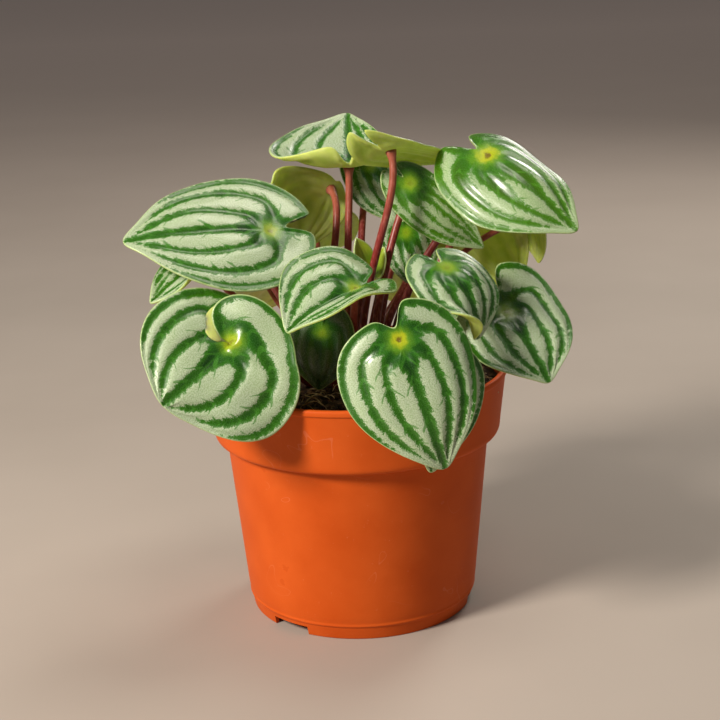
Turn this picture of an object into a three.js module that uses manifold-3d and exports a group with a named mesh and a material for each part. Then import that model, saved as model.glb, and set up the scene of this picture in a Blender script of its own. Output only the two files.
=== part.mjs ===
// A watermelon peperomia in its plastic nursery pot.
// Millimetres, +Z up, the viewer stands at -Y. The origin is on the pot's axis, at the plane it stands on.
// The pot holds soil, and every leaf is two pieces: a fleshy stalk that stands in a plain hole in the soil,
// and a shield-shaped blade that the stalk carries on its underside, a little way in from the notch.

import * as THREE from 'three';
import Module from 'manifold-3d';
import { mergeVertices } from 'three/addons/utils/BufferGeometryUtils.js';

const wasm = await Module();
wasm.setup();

// ---------------------------------------------------------------- driving dimensions

const CLEARANCE = 0.3; // between pieces that touch

// The pot, a 12 cm nursery pot: a tapered body, a wide collar and a skirt to stand on.
const POT_HEIGHT = 97.8;
const RIM_RADIUS = 60;
const WALL = 1.5;
const COLLAR_BOTTOM = 71.6;
const COLLAR_RADIUS = 57; // just above the curve under the collar
const BODY_TOP_RADIUS = 52.3;
const SEAM_HEIGHT = 6;
const SEAM_RADIUS = 45.9;
const FOOT_RADIUS = 44.6;
const FLOOR_HEIGHT = 4; // underside of the floor, above the skirt's lower edge
const FLOOR_ROUNDING = 1.4; // where the floor meets the wall, inside
const COLLAR_ROUNDING = 2.2; // under the collar's outer edge
const LIP_HEIGHT = 2; // the band along the top of the collar
const LIP_PROUD = 0.6;
const SEAM_PROUD = 0.2;
const POT_SIDES = 44;

// What is cut out of the pot: drain holes in the floor and three gaps in the skirt.
const DRAIN_HOLES = 6;
const DRAIN_RADIUS = 4;
const DRAIN_CIRCLE = 28;
const DRAIN_SIDES = 12;
const SKIRT_GAPS = 3;
const SKIRT_GAP_WIDTH = 17;
const SKIRT_GAP_HEIGHT = 3.6;
const SKIRT_CUT = 8; // how thick the tool is that cuts them
const FIRST_GAP_ANGLE = 230; // degrees from +X, left of the viewer

// The soil.
const SOIL_EDGE_HEIGHT = 90.5;
const SOIL_MOUND = 3.5; // how much higher it lies round the plant
const SOIL_RINGS = 6;
const FACET_SAG = 0.1; // more room at the wall, for the flats between the pot's corners
const CRUMBS = 26;
const CRUMB_SIZES = [1.6, 3.4]; // across
const CRUMB_BELT = [25, 50]; // how far from the pot's axis they lie
const ROOTS = 5; // pale fibres that loop out of the soil
const ROOT_RADIUS = 0.6;
const ROOT_SIDES = 5;
const ROOT_STEPS = 6;
const ROOT_SINK = 1.2; // of a fibre's ends, under the surface
const ROOT_RISE = 0.33; // of its bend, as a share of the span
const ROOT_SPANS = [9, 15];
const ROOT_BELT = [27, 43];
const SEED = 11;

// The leaves.
const BLADE_THICKNESS = 1;
const YOUNG_THICKNESS = 0.6;
const BLADE_COLUMNS = 8; // from one edge across the midrib to the other
const BLADE_ROWS = 10; // from the notch to the tip
const LINES_SPREAD = 0.3; // from this share of the midrib on, the blade's lines lie evenly apart
const ROW_CROWDING = 1.5; // more than 1 brings the rows closer together at the edges of the notch
const WIDEST = 0.25; // where a blade is widest, as a share of its midrib
const LOBE_START = 0.5; // the part of each half beyond this share of its width grows out behind the stalk
const NOTCH_WIDTH = 0.12; // radians of the outline that dip in at the notch
const DRIP_WIDTH = 0.3; // radians of the outline that reach out at the tip
const DRIP_LENGTH = 0.07; // as a share of the midrib
const CURL_START = 0.65; // where the tip begins to curl, as a share of the midrib
const MIDDLE = [0.35, 0.4]; // the part of the midrib that has the middle's bends
const SPINE_STEPS = 24;
const DIMPLE_DEPTH = 1; // over the stalk
const DIMPLE_RADIUS = 5.5;
const SWIRL_FADE = [0.4, 0.3]; // how far round the lobes turn with the notch: the leading one and the other
const ROLL_RISE = 0.1; // where along its edge a lobe that rolls over the other one stands highest
const ROLL_END = 0.5;
const STALK_RADIUS = 1.6;
const YOUNG_STALK = 0.5; // the thinnest stalk, as a share of a full one
const STALK_SIDES = 6;
const STALK_STEPS = 6;
const STALK_FOOT_HEIGHT = 79; // where the stalks end in the soil
const STALK_GAP = 0.5; // from a stalk's end to the underside of its blade
const STALK_ARRIVAL = 0.22; // the share of a stalk that runs square to its blade
const FULL_LENGTH = 30; // a blade shorter than this is still young: thinner, and on a thinner stalk
const HOLE_CLEARANCE = 0.45;

// Each leaf: the point over its stalk, its tip, the azimuth and elevation that its upper side faces at the
// middle, the half widths left and right of the midrib (seen from the upper side, looking to the tip), the
// depth of the lobes and of the notch behind the stalk, and how much narrower than an ellipse it gets to
// the tip (taper) and fuller at the lobes (full). Then the bends in degrees: bow of the midrib (up is +),
// curl of the tip (down is +), lift of the lobes, fold along the midrib, and for the left and right halves
// the turn from midrib to edge (up is +) at the lobes, at the middle and at the tip. swirl turns the lobes
// round the stalk, and roll is how high the leading one then stands over the other. foot is where the stalk
// stands in the soil, and reach how far it rises before it leans out.
const LEAVES = {
  upper_left: {
    stalk: [-30, -18, 157], tip: [-84, -31, 157], faces: [-97, 48], half: [27, 27],
    lobe: [17, 18], notch: 7, taper: 0.3, full: 0.1, bow: 22, curl: 8, lift: 8, fold: 0,
    lobes: [-10, 10], sides: [-14, -16], toes: [-10, -10], swirl: 16, roll: 0,
    foot: [-12, -2], reach: 0.5,
  },
  lower_left: {
    stalk: [-45, -50, 122], tip: [-69, -68, 105], faces: [-72, 32], half: [35, 29],
    lobe: [15, 16], notch: 4, taper: -0.05, full: 0.15, bow: 16, curl: 0, lift: 12, fold: 0,
    lobes: [10, -10], sides: [-10, -6], toes: [-10, -6], swirl: 30, roll: 5,
    foot: [-11, -10], reach: 0.35,
  },
  centre_left: {
    stalk: [1, -36, 138], tip: [-24, -53, 126], faces: [-106, 62], half: [19, 24],
    lobe: [14, 13], notch: 6, taper: 0.3, full: 0.15, bow: 24, curl: 6, lift: -16, fold: 26,
    lobes: [-40, -10], sides: [6, -20], toes: [0, -14], swirl: 0, roll: 0,
    foot: [-1, -12], reach: 0.6,
  },
  front: {
    stalk: [16, -66, 126], tip: [31, -74, 80], faces: [-88, 28], half: [25, 27],
    lobe: [14, 10], notch: 5, taper: 0.3, full: 0.25, bow: 34, curl: 10, lift: 4, fold: 0,
    lobes: [-20, -20], sides: [-34, -30], toes: [-20, -20], swirl: 0, roll: 0,
    foot: [4, -17], reach: 0.6,
  },
  right: {
    stalk: [58, -24, 124], tip: [72, -40, 100], faces: [-68, 22], half: [24, 21],
    lobe: [21, 18], notch: 7, taper: 0.3, full: 0.7, bow: 20, curl: 20, lift: 8, fold: 0,
    lobes: [-16, -16], sides: [-22, -22], toes: [-10, -10], swirl: 0, roll: 0,
    foot: [14, -6], reach: 0.55,
  },
  centre_curled: {
    stalk: [35, -36, 145], tip: [45, -44, 119], faces: [-60, 50], half: [20, 19],
    lobe: [12, 13], notch: 4, taper: 0.3, full: 0.15, bow: 90, curl: 0, lift: 0, fold: 0,
    lobes: [-20, -10], sides: [-40, -20], toes: [-20, 140], swirl: 0, roll: 0,
    foot: [9, -11], reach: 0.6,
  },
  centre_top: {
    stalk: [23.5, 5, 169], tip: [52, 6, 142], faces: [-125, 35], half: [9, 13],
    lobe: [10, 12], notch: 4, taper: 0.3, full: 0.15, bow: 30, curl: 0, lift: 0, fold: 0,
    lobes: [-10, -20], sides: [-20, -25], toes: [-10, -10], swirl: 0, roll: 0,
    foot: [6, -3], reach: 0.6,
  },
  top_right: {
    stalk: [53, 0, 180], tip: [85, -20, 153], faces: [-108, 55], half: [19, 26],
    lobe: [15, 21], notch: 6, taper: 0.3, full: 0.15, bow: 45, curl: -10, lift: -15, fold: 0,
    lobes: [-50, -40], sides: [-60, -40], toes: [-50, -25], swirl: 0, roll: 0,
    foot: [13, 9], reach: 0.6,
  },
  top_left: {
    stalk: [0, 18, 175], tip: [0, 60, 189], faces: [-90, 78], half: [32, 16],
    lobe: [15, 15], notch: 6, taper: 0.3, full: 0, bow: -35, curl: 20, lift: 95, fold: 0,
    lobes: [20, 40], sides: [12, 30], toes: [20, 20], swirl: 0, roll: 0,
    foot: [-3, 3], reach: 0.6,
  },
  top_middle: {
    stalk: [16, -2, 184], tip: [42, 24, 172], faces: [80, 50], half: [14, 8],
    lobe: [20, 18], notch: 5, taper: 0.3, full: 0.15, bow: 20, curl: 10, lift: 50, fold: 0,
    lobes: [-20, 70], sides: [-30, -10], toes: [-10, -10], swirl: 0, roll: 0,
    foot: [1, -4], reach: 0.6,
  },
  hanging_left: {
    stalk: [-8, 32, 163], tip: [-21, 23, 139], faces: [95, 35], half: [31, 12],
    lobe: [5, 5], notch: 4, taper: 0.3, full: -0.3, bow: 40, curl: 10, lift: 0, fold: 0,
    lobes: [-10, -30], sides: [-30, -50], toes: [-10, -20], swirl: 0, roll: 0,
    foot: [-12, 11], reach: 0.6,
  },
  behind_top: {
    stalk: [9, 44, 170], tip: [22, 38, 146], faces: [-70, 10], half: [13, 14],
    lobe: [14, 14], notch: 5, taper: 0.3, full: 0.15, bow: 20, curl: 10, lift: 0, fold: 0,
    lobes: [-20, -30], sides: [-20, -30], toes: [-10, -20], swirl: 0, roll: 0,
    foot: [2, 13], reach: 0.6,
  },
  behind_right: {
    stalk: [48, 30, 150], tip: [68, 22, 122], faces: [75, 20], half: [22, 20],
    lobe: [16, 16], notch: 5, taper: 0.3, full: 0.15, bow: 20, curl: 10, lift: 0, fold: 0,
    lobes: [-20, -20], sides: [-20, -20], toes: [-10, -20], swirl: 0, roll: 0,
    foot: [21, 15], reach: 0.5,
  },
  behind_centre: {
    stalk: [22, 21, 146], tip: [27, 16, 123], faces: [-80, 20], half: [12, 11],
    lobe: [13, 13], notch: 5, taper: 0.3, full: 0.15, bow: 20, curl: 10, lift: 0, fold: 0,
    lobes: [-20, -20], sides: [-20, -20], toes: [-10, -20], swirl: 0, roll: 0,
    foot: [8, 5], reach: 0.6,
  },
  far_right: {
    stalk: [73, 16, 152], tip: [74, 11, 134], faces: [20, 10], half: [13, 13],
    lobe: [14, 14], notch: 5, taper: 0.3, full: 0.15, bow: 20, curl: 10, lift: 0, fold: 0,
    lobes: [-20, -20], sides: [-20, -20], toes: [-10, -20], swirl: 0, roll: 0,
    foot: [18, 3], reach: 0.6,
  },
  far_left: {
    stalk: [-55, -16, 148], tip: [-75, -34, 134], faces: [-110, 50], half: [15, 11],
    lobe: [12, 14], notch: 5, taper: 0.3, full: 0.15, bow: 10, curl: 0, lift: 0, fold: 10,
    lobes: [60, -20], sides: [70, -20], toes: [40, -20], swirl: 0, roll: 0,
    foot: [-17, -6], reach: 0.3,
  },
  shaded: {
    stalk: [-12, -31, 120], tip: [-14, -32, 98], faces: [-95, 5], half: [13, 14],
    lobe: [12, 14], notch: 5, taper: 0.3, full: 0.15, bow: 20, curl: 10, lift: 0, fold: 0,
    lobes: [-20, -20], sides: [-20, -20], toes: [-10, -20], swirl: 0, roll: 0,
    foot: [-7, -17], reach: 0.3,
  },
  under_front: {
    stalk: [30, -57, 117], tip: [26, -67, 76], faces: [-80, 15], half: [19, 13],
    lobe: [6, 6], notch: 5, taper: 0.3, full: 0.15, bow: 10, curl: 0, lift: 0, fold: 0,
    lobes: [-20, -20], sides: [-20, -10], toes: [-10, -10], swirl: 0, roll: 0,
    foot: [10, -17], reach: 0.5,
  },
  under_right: {
    stalk: [35, -20, 133], tip: [32, -37, 117], faces: [-115, 45], half: [8, 6],
    lobe: [7, 7], notch: 4, taper: 0.3, full: 0.15, bow: 20, curl: 0, lift: 0, fold: 0,
    lobes: [-20, -20], sides: [-10, -10], toes: [-10, -10], swirl: 0, roll: 0,
    foot: [16, -12], reach: 0.5,
  },
  back_left: {
    stalk: [-42, 26, 146], tip: [-72, 48, 126], faces: [142, 48], half: [24, 24],
    lobe: [16, 17], notch: 6, taper: 0.3, full: 0.15, bow: 30, curl: 10, lift: 0, fold: 0,
    lobes: [-20, -20], sides: [-25, -25], toes: [-15, -15], swirl: 5, roll: 0,
    foot: [-15, 4], reach: 0.5,
  },
  back_middle: {
    stalk: [-16, 50, 147], tip: [-23, 77, 119], faces: [100, 45], half: [22, 21],
    lobe: [21, 20], notch: 6, taper: 0.3, full: 0.15, bow: 35, curl: 10, lift: 0, fold: 0,
    lobes: [-20, -20], sides: [-28, -25], toes: [-15, -15], swirl: -5, roll: 0,
    foot: [-5, 15], reach: 0.55,
  },
  back_right: {
    stalk: [38, 56, 147], tip: [63, 71, 127], faces: [50, 48], half: [23, 25],
    lobe: [20, 21], notch: 6, taper: 0.3, full: 0.15, bow: 30, curl: 10, lift: 0, fold: 0,
    lobes: [-20, -20], sides: [-25, -25], toes: [-15, -15], swirl: 0, roll: 0,
    foot: [8, 16], reach: 0.5,
  },
  low_back_left: {
    stalk: [-36, 52, 120], tip: [-50, 71, 96], faces: [125, 38], half: [20, 20],
    lobe: [14, 14], notch: 5, taper: 0.3, full: 0.15, bow: 25, curl: 10, lift: 0, fold: 0,
    lobes: [-15, -15], sides: [-20, -20], toes: [-15, -15], swirl: 0, roll: 0,
    foot: [-12, 14], reach: 0.45,
  },
  low_back_right: {
    stalk: [24, 57, 122], tip: [32, 76, 96], faces: [72, 38], half: [20, 20],
    lobe: [14, 13], notch: 5, taper: 0.3, full: 0.15, bow: 25, curl: 10, lift: 0, fold: 0,
    lobes: [-15, -15], sides: [-20, -20], toes: [-15, -15], swirl: 0, roll: 0,
    foot: [2, 21], reach: 0.45,
  },
  young_front: {
    stalk: [6, -3, 140], tip: [2, -4, 150], faces: [-60, 10], half: [5, 4],
    lobe: [3, 3], notch: 1, taper: 0.3, full: 0.15, bow: 0, curl: 0, lift: 0, fold: 8,
    lobes: [0, 0], sides: [10, 10], toes: [10, 10], swirl: 0, roll: 0,
    foot: [-4, -6], reach: 0.6,
  },
  young_back: {
    stalk: [9, 6, 134], tip: [13, 5, 144], faces: [-120, 10], half: [5, 5],
    lobe: [3, 3], notch: 1, taper: 0.3, full: 0, bow: 20, curl: 0, lift: 0, fold: 12,
    lobes: [10, 10], sides: [15, 15], toes: [10, 10], swirl: 0, roll: 0,
    foot: [3, 7], reach: 0.6,
  },
};

const BLADE_GREEN = '#5f8f58';
const STALK_RED = '#93453a';

// ---------------------------------------------------------------- small helpers

const radians = THREE.MathUtils.degToRad;
const smooth = (low, high, value) => THREE.MathUtils.smoothstep(value, low, high);
const mix = THREE.MathUtils.lerp;

// Joining and cutting of closed geometries.
function solidOf(geometry) {
  const bare = geometry.clone();
  bare.deleteAttribute('normal');
  bare.deleteAttribute('uv');
  const merged = mergeVertices(bare, 1e-4);
  const vertProperties = new Float32Array(merged.attributes.position.array);
  const triVerts = new Uint32Array(merged.index.array);
  const mesh = new wasm.Mesh({ numProp: 3, vertProperties, triVerts });
  return new wasm.Manifold(mesh);
}

function geometryOf(solid) {
  const mesh = solid.getMesh();
  const geometry = new THREE.BufferGeometry();
  geometry.setAttribute('position', new THREE.BufferAttribute(mesh.vertProperties, 3));
  geometry.setIndex(new THREE.BufferAttribute(mesh.triVerts, 1));
  return geometry;
}

// A solid of revolution about +Z from [radius, height] points that start and end on the axis.
function turned(profile, sides) {
  const points = profile.map(([radius, height]) => new THREE.Vector2(radius, height));
  return new THREE.LatheGeometry(points, sides).rotateX(Math.PI / 2);
}

// ---------------------------------------------------------------- the pot

// Radius of the body's outside at a height between the seam and the collar.
function bodyRadius(height) {
  return mix(SEAM_RADIUS, BODY_TOP_RADIUS, (height - SEAM_HEIGHT) / (COLLAR_BOTTOM - SEAM_HEIGHT));
}

function potShell() {
  const floorTop = FLOOR_HEIGHT + WALL;
  const outside = [
    [0, FLOOR_HEIGHT],
    [FOOT_RADIUS - WALL, FLOOR_HEIGHT],
    [FOOT_RADIUS - WALL, 0],
    [FOOT_RADIUS, 0],
    [SEAM_RADIUS - SEAM_PROUD, SEAM_HEIGHT - SEAM_PROUD],
    [SEAM_RADIUS + SEAM_PROUD, SEAM_HEIGHT],
    [bodyRadius(2 * SEAM_HEIGHT), 2 * SEAM_HEIGHT],
    [BODY_TOP_RADIUS, COLLAR_BOTTOM],
    [COLLAR_RADIUS - COLLAR_ROUNDING, COLLAR_BOTTOM],
    [COLLAR_RADIUS - 0.3 * COLLAR_ROUNDING, COLLAR_BOTTOM + 0.3 * COLLAR_ROUNDING],
    [COLLAR_RADIUS, COLLAR_BOTTOM + COLLAR_ROUNDING],
    [RIM_RADIUS - LIP_PROUD, POT_HEIGHT - LIP_HEIGHT - LIP_PROUD],
    [RIM_RADIUS, POT_HEIGHT - LIP_HEIGHT],
    [RIM_RADIUS, POT_HEIGHT - LIP_PROUD],
    [RIM_RADIUS - LIP_PROUD, POT_HEIGHT],
  ];
  const inside = [
    [RIM_RADIUS - LIP_PROUD - WALL, POT_HEIGHT],
    [COLLAR_RADIUS - WALL, COLLAR_BOTTOM + 2 * WALL],
    [BODY_TOP_RADIUS - WALL, COLLAR_BOTTOM - WALL],
    [bodyRadius(floorTop + FLOOR_ROUNDING) - WALL, floorTop + FLOOR_ROUNDING],
    [bodyRadius(floorTop) - WALL - FLOOR_ROUNDING, floorTop],
    [0, floorTop],
  ];
  return turned([...outside, ...inside], POT_SIDES);
}

function pot() {
  let shell = solidOf(potShell());
  for (let hole = 0; hole < DRAIN_HOLES; hole += 1) {
    const angle = (2 * Math.PI * hole) / DRAIN_HOLES;
    const drill = new THREE.CylinderGeometry(DRAIN_RADIUS, DRAIN_RADIUS, 4 * WALL, DRAIN_SIDES);
    const [x, y] = [DRAIN_CIRCLE * Math.cos(angle), DRAIN_CIRCLE * Math.sin(angle)];
    drill.rotateX(Math.PI / 2).translate(x, y, FLOOR_HEIGHT + WALL / 2);
    shell = shell.subtract(solidOf(drill));
  }
  for (let gap = 0; gap < SKIRT_GAPS; gap += 1) {
    const angle = radians(FIRST_GAP_ANGLE + (360 * gap) / SKIRT_GAPS);
    const cutter = new THREE.BoxGeometry(SKIRT_CUT, SKIRT_GAP_WIDTH, 2 * SKIRT_GAP_HEIGHT);
    cutter.translate(FOOT_RADIUS, 0, 0).rotateZ(angle);
    shell = shell.subtract(solidOf(cutter));
  }
  return geometryOf(shell);
}

// ---------------------------------------------------------------- leaf blades

// The spine of a blade in its own plane: how far along the chord and how high over it, and its slope, at
// a share of the midrib that is negative behind the stalk.
function spineSlope(leaf, share) {
  const bow = radians(leaf.bow);
  if (share < 0) return bow / 2 + (radians(leaf.lift) * share * leaf.long) / leaf.back;
  const curl = Math.max(0, (share - CURL_START) / (1 - CURL_START));
  return bow * (0.5 - share) - radians(leaf.curl) * curl * curl;
}

function spinePoint(leaf, share) {
  let along = 0;
  let height = 0;
  for (let step = 0; step < SPINE_STEPS; step += 1) {
    const slope = spineSlope(leaf, (share * (step + 0.5)) / SPINE_STEPS);
    along += (Math.cos(slope) * share) / SPINE_STEPS;
    height += (Math.sin(slope) * share) / SPINE_STEPS;
  }
  return [along, height];
}

// A leaf with the values that follow from its row: the midrib's length and the directions of its frame.
function laidOut(row) {
  const leaf = { ...row, back: Math.max(...row.lobe) };
  const origin = new THREE.Vector3(...row.stalk);
  const chord = new THREE.Vector3(...row.tip).sub(origin);
  const [along, height] = spinePoint(leaf, 1);
  leaf.long = chord.length() / Math.hypot(along, height);
  leaf.tilt = Math.atan2(height, along);
  leaf.grown = Math.min(1, leaf.long / FULL_LENGTH);
  leaf.thickness = mix(YOUNG_THICKNESS, BLADE_THICKNESS, leaf.grown);
  const [azimuth, elevation] = row.faces.map(radians);
  const ahead = chord.clone().normalize();
  const up = new THREE.Vector3().setFromSphericalCoords(1, Math.PI / 2 - elevation, azimuth + Math.PI / 2);
  up.set(up.x, -up.z, up.y);
  up.addScaledVector(ahead, -up.dot(ahead)).normalize();
  leaf.origin = origin;
  leaf.ahead = ahead;
  leaf.up = up;
  leaf.left = up.clone().cross(ahead);
  return leaf;
}

// The flat outline: share runs from 0 at the notch round a lobe to 1 at the tip, side is +1 or -1.
function flatEdge(leaf, share, side) {
  const angle = Math.PI * (1 - share);
  const [half, lobe] = side > 0 ? [leaf.half[0], leaf.lobe[0]] : [leaf.half[1], leaf.lobe[1]];
  const centre = WIDEST * leaf.long;
  const drip = DRIP_LENGTH * leaf.long;
  const reach = angle < Math.PI / 2 ? leaf.long - centre - drip : centre + lobe;
  const cosine = Math.cos(angle);
  const pinch = Math.exp(-(((Math.PI - angle) / NOTCH_WIDTH) ** 2));
  const point = Math.exp(-((angle / DRIP_WIDTH) ** 2));
  const x = centre + reach * cosine + (lobe - leaf.notch) * pinch + drip * point;
  const narrowing = (cosine > 0 ? leaf.taper : leaf.full) * cosine * Math.abs(cosine);
  const y = side * half * Math.sin(angle) * (1 - narrowing);
  return [x, y];
}

// A flat point of the blade: across runs from -1 at the right edge to 1 at the left, share from the
// stalk to the tip. Close to the notch the outer lines start on the line from stalk to notch.
function flatPoint(leaf, across, share) {
  const [edgeX, edgeY] = flatEdge(leaf, share, Math.sign(across) || 1);
  const out = Math.abs(across);
  const reach = mix(smooth(LOBE_START, 1, out), out, smooth(0, LINES_SPREAD, share));
  const x = mix(leaf.long * share, edgeX, reach);
  const y = edgeY * reach;
  const fade = Math.sign(across) === Math.sign(leaf.swirl) ? SWIRL_FADE[0] : SWIRL_FADE[1];
  const turn = radians(leaf.swirl) * smooth(0, 1, out) * (1 - smooth(0, fade, share));
  return [x * Math.cos(turn) - y * Math.sin(turn), x * Math.sin(turn) + y * Math.cos(turn)];
}

// Where a flat point lies once the blade is bent.
function bentPoint(leaf, across, share) {
  const [x, y] = flatPoint(leaf, across, share);
  const side = y < 0 ? 1 : 0;
  const half = leaf.half[side];
  const toMiddle = smooth(-leaf.back, MIDDLE[0] * leaf.long, x);
  const toTip = smooth(MIDDLE[1] * leaf.long, leaf.long, x);
  const turn = radians(mix(mix(leaf.lobes[side], leaf.sides[side], toMiddle), leaf.toes[side], toTip));
  const bend = Math.abs(turn) < 1e-4 ? 1e-4 : turn;
  const fold = radians(leaf.fold);
  const arc = fold + (bend * Math.abs(y)) / half;
  const sideways = (Math.sign(y) * half * (Math.sin(arc) - Math.sin(fold))) / bend;
  const dimple = DIMPLE_DEPTH * leaf.grown * Math.exp(-(x * x + y * y) / DIMPLE_RADIUS ** 2);
  const leading = Math.sign(across) === Math.sign(leaf.swirl);
  const standing = smooth(0, ROLL_RISE, share) * (1 - smooth(ROLL_RISE, ROLL_END, share));
  const rolled = leading ? leaf.roll * smooth(0, 1, Math.abs(across)) * standing : 0;
  const lifted = (half * (Math.cos(fold) - Math.cos(arc))) / bend - dimple + rolled;
  const [along, height] = spinePoint(leaf, x / leaf.long).map((part) => part * leaf.long);
  const slope = spineSlope(leaf, x / leaf.long);
  const forward = along - lifted * Math.sin(slope);
  const upward = height + lifted * Math.cos(slope);
  const chordwise = forward * Math.cos(leaf.tilt) + upward * Math.sin(leaf.tilt);
  const raised = -forward * Math.sin(leaf.tilt) + upward * Math.cos(leaf.tilt);
  return leaf.origin.clone()
    .addScaledVector(leaf.ahead, chordwise)
    .addScaledVector(leaf.left, sideways)
    .addScaledVector(leaf.up, raised);
}

// The middle surface of a blade as points and triangles, with the two edges as rows of point numbers.
function bladeSheet(leaf) {
  const points = [];
  const numbers = new Map();
  const numberAt = (column, row) => {
    const across = (2 * column) / BLADE_COLUMNS - 1;
    let key = `${column},${row}`;
    if (row === BLADE_ROWS) key = 'tip';
    if (row === 0) key = `base ${smooth(LOBE_START, 1, Math.abs(across)).toFixed(4)}`;
    if (!numbers.has(key)) {
      numbers.set(key, points.length);
      const crowding = mix(1, ROW_CROWDING, smooth(LOBE_START, 1, Math.abs(across)));
      points.push(bentPoint(leaf, across, (row / BLADE_ROWS) ** crowding));
    }
    return numbers.get(key);
  };
  const triangles = [];
  const add = (a, b, c) => {
    if (a !== b && b !== c && c !== a) triangles.push([a, b, c]);
  };
  for (let column = 0; column < BLADE_COLUMNS; column += 1) {
    for (let row = 0; row < BLADE_ROWS; row += 1) {
      const [a, b] = [numberAt(column, row), numberAt(column, row + 1)];
      const [c, d] = [numberAt(column + 1, row + 1), numberAt(column + 1, row)];
      if (column < BLADE_COLUMNS / 2) {
        add(a, b, c);
        add(a, c, d);
      } else {
        add(a, b, d);
        add(b, c, d);
      }
    }
  }
  const rows = [...Array(BLADE_ROWS + 1).keys()];
  const rightEdge = rows.map((row) => numberAt(0, row));
  const leftEdge = rows.map((row) => numberAt(BLADE_COLUMNS, row));
  return { points, triangles, rightEdge, leftEdge };
}

// The way out of the sheet at each of its points, as the mean of the triangles round it.
function sheetNormals({ points, triangles }) {
  const normals = points.map(() => new THREE.Vector3());
  for (const [a, b, c] of triangles) {
    const one = points[b].clone().sub(points[a]);
    const other = points[c].clone().sub(points[a]);
    const normal = one.cross(other);
    for (const corner of [a, b, c]) normals[corner].add(normal);
  }
  return normals.map((normal) => normal.normalize());
}

// The blade as a closed body: the sheet's two faces, split alike, and a rim between them.
function blade(leaf) {
  const sheet = bladeSheet(leaf);
  const normals = sheetNormals(sheet);
  const count = sheet.points.length;
  const positions = [];
  for (const offset of [leaf.thickness / 2, -leaf.thickness / 2]) {
    sheet.points.forEach((point, number) => {
      positions.push(...point.clone().addScaledVector(normals[number], offset).toArray());
    });
  }
  const index = [];
  for (const [a, b, c] of sheet.triangles) index.push(a, b, c, a + count, c + count, b + count);
  for (let row = 0; row < BLADE_ROWS; row += 1) {
    const [start, end] = [sheet.leftEdge[row], sheet.leftEdge[row + 1]];
    index.push(start, end, end + count, start, end + count, start + count);
    const [first, last] = [sheet.rightEdge[row], sheet.rightEdge[row + 1]];
    index.push(last, first, first + count, last, first + count, last + count);
  }
  const geometry = new THREE.BufferGeometry();
  geometry.setAttribute('position', new THREE.Float32BufferAttribute(positions, 3));
  geometry.setIndex(index);
  return geometry;
}

// ---------------------------------------------------------------- leaf stalks

// The stalk rises from its foot in the soil and arrives square to the underside of its blade.
function stalkPath(leaf, below = 0) {
  const slope = spineSlope(leaf, 0) - leaf.tilt;
  const normal = leaf.up.clone().multiplyScalar(Math.cos(slope));
  normal.addScaledVector(leaf.ahead, -Math.sin(slope));
  const top = bentPoint(leaf, 0, 0).addScaledVector(normal, -leaf.thickness / 2 - STALK_GAP);
  const foot = new THREE.Vector3(leaf.foot[0], leaf.foot[1], STALK_FOOT_HEIGHT - below);
  const span = top.distanceTo(foot);
  const rising = foot.clone().add(new THREE.Vector3(0, 0, span * leaf.reach));
  const arriving = top.clone().addScaledVector(normal, -span * STALK_ARRIVAL);
  return new THREE.CubicBezierCurve3(foot, rising, arriving, top);
}

function stalkRadius(leaf) {
  return STALK_RADIUS * mix(YOUNG_STALK, 1, leaf.grown);
}

function tube(path, radius, sides, steps) {
  const outline = new THREE.Shape();
  for (let side = 0; side < sides; side += 1) {
    const angle = (2 * Math.PI * side) / sides;
    const corner = [radius * Math.cos(angle), radius * Math.sin(angle)];
    if (side === 0) outline.moveTo(...corner);
    else outline.lineTo(...corner);
  }
  return new THREE.ExtrudeGeometry(outline, { steps, extrudePath: path });
}

// ---------------------------------------------------------------- soil

// The same draws each time, from 0 to 1.
function draws(seed) {
  let state = seed;
  return () => {
    state = (state * 16807) % 2147483647;
    return state / 2147483647;
  };
}

// Height of the soil at a distance from the pot's axis.
function soilHeight(radius, edgeRadius) {
  return SOIL_EDGE_HEIGHT + SOIL_MOUND * (1 - (radius / edgeRadius) ** 3);
}

// A crumb sunk to its middle.
function crumb(draw, edgeRadius) {
  const angle = 2 * Math.PI * draw();
  const radius = mix(...CRUMB_BELT, draw());
  const size = mix(...CRUMB_SIZES, draw()) / 2;
  const turn = () => 2 * Math.PI * draw();
  const lump = new THREE.IcosahedronGeometry(size, 0).rotateX(turn()).rotateZ(turn());
  return lump.translate(radius * Math.cos(angle), radius * Math.sin(angle), soilHeight(radius, edgeRadius));
}

// A root fibre that leaves the soil and goes back in.
function root(draw, edgeRadius) {
  const angle = 2 * Math.PI * draw();
  const radius = mix(...ROOT_BELT, draw());
  const turn = 2 * Math.PI * draw();
  const span = mix(...ROOT_SPANS, draw());
  const middle = new THREE.Vector3(radius * Math.cos(angle), radius * Math.sin(angle), 0);
  const half = new THREE.Vector3(Math.cos(turn), Math.sin(turn), 0).multiplyScalar(span / 2);
  const ends = [middle.clone().sub(half), middle.clone().add(half)];
  for (const end of ends) end.z = soilHeight(Math.hypot(end.x, end.y), edgeRadius) - ROOT_SINK;
  const top = middle.setZ(soilHeight(radius, edgeRadius) + ROOT_RISE * span);
  return tube(new THREE.QuadraticBezierCurve3(ends[0], top, ends[1]), ROOT_RADIUS, ROOT_SIDES, ROOT_STEPS);
}

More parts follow.
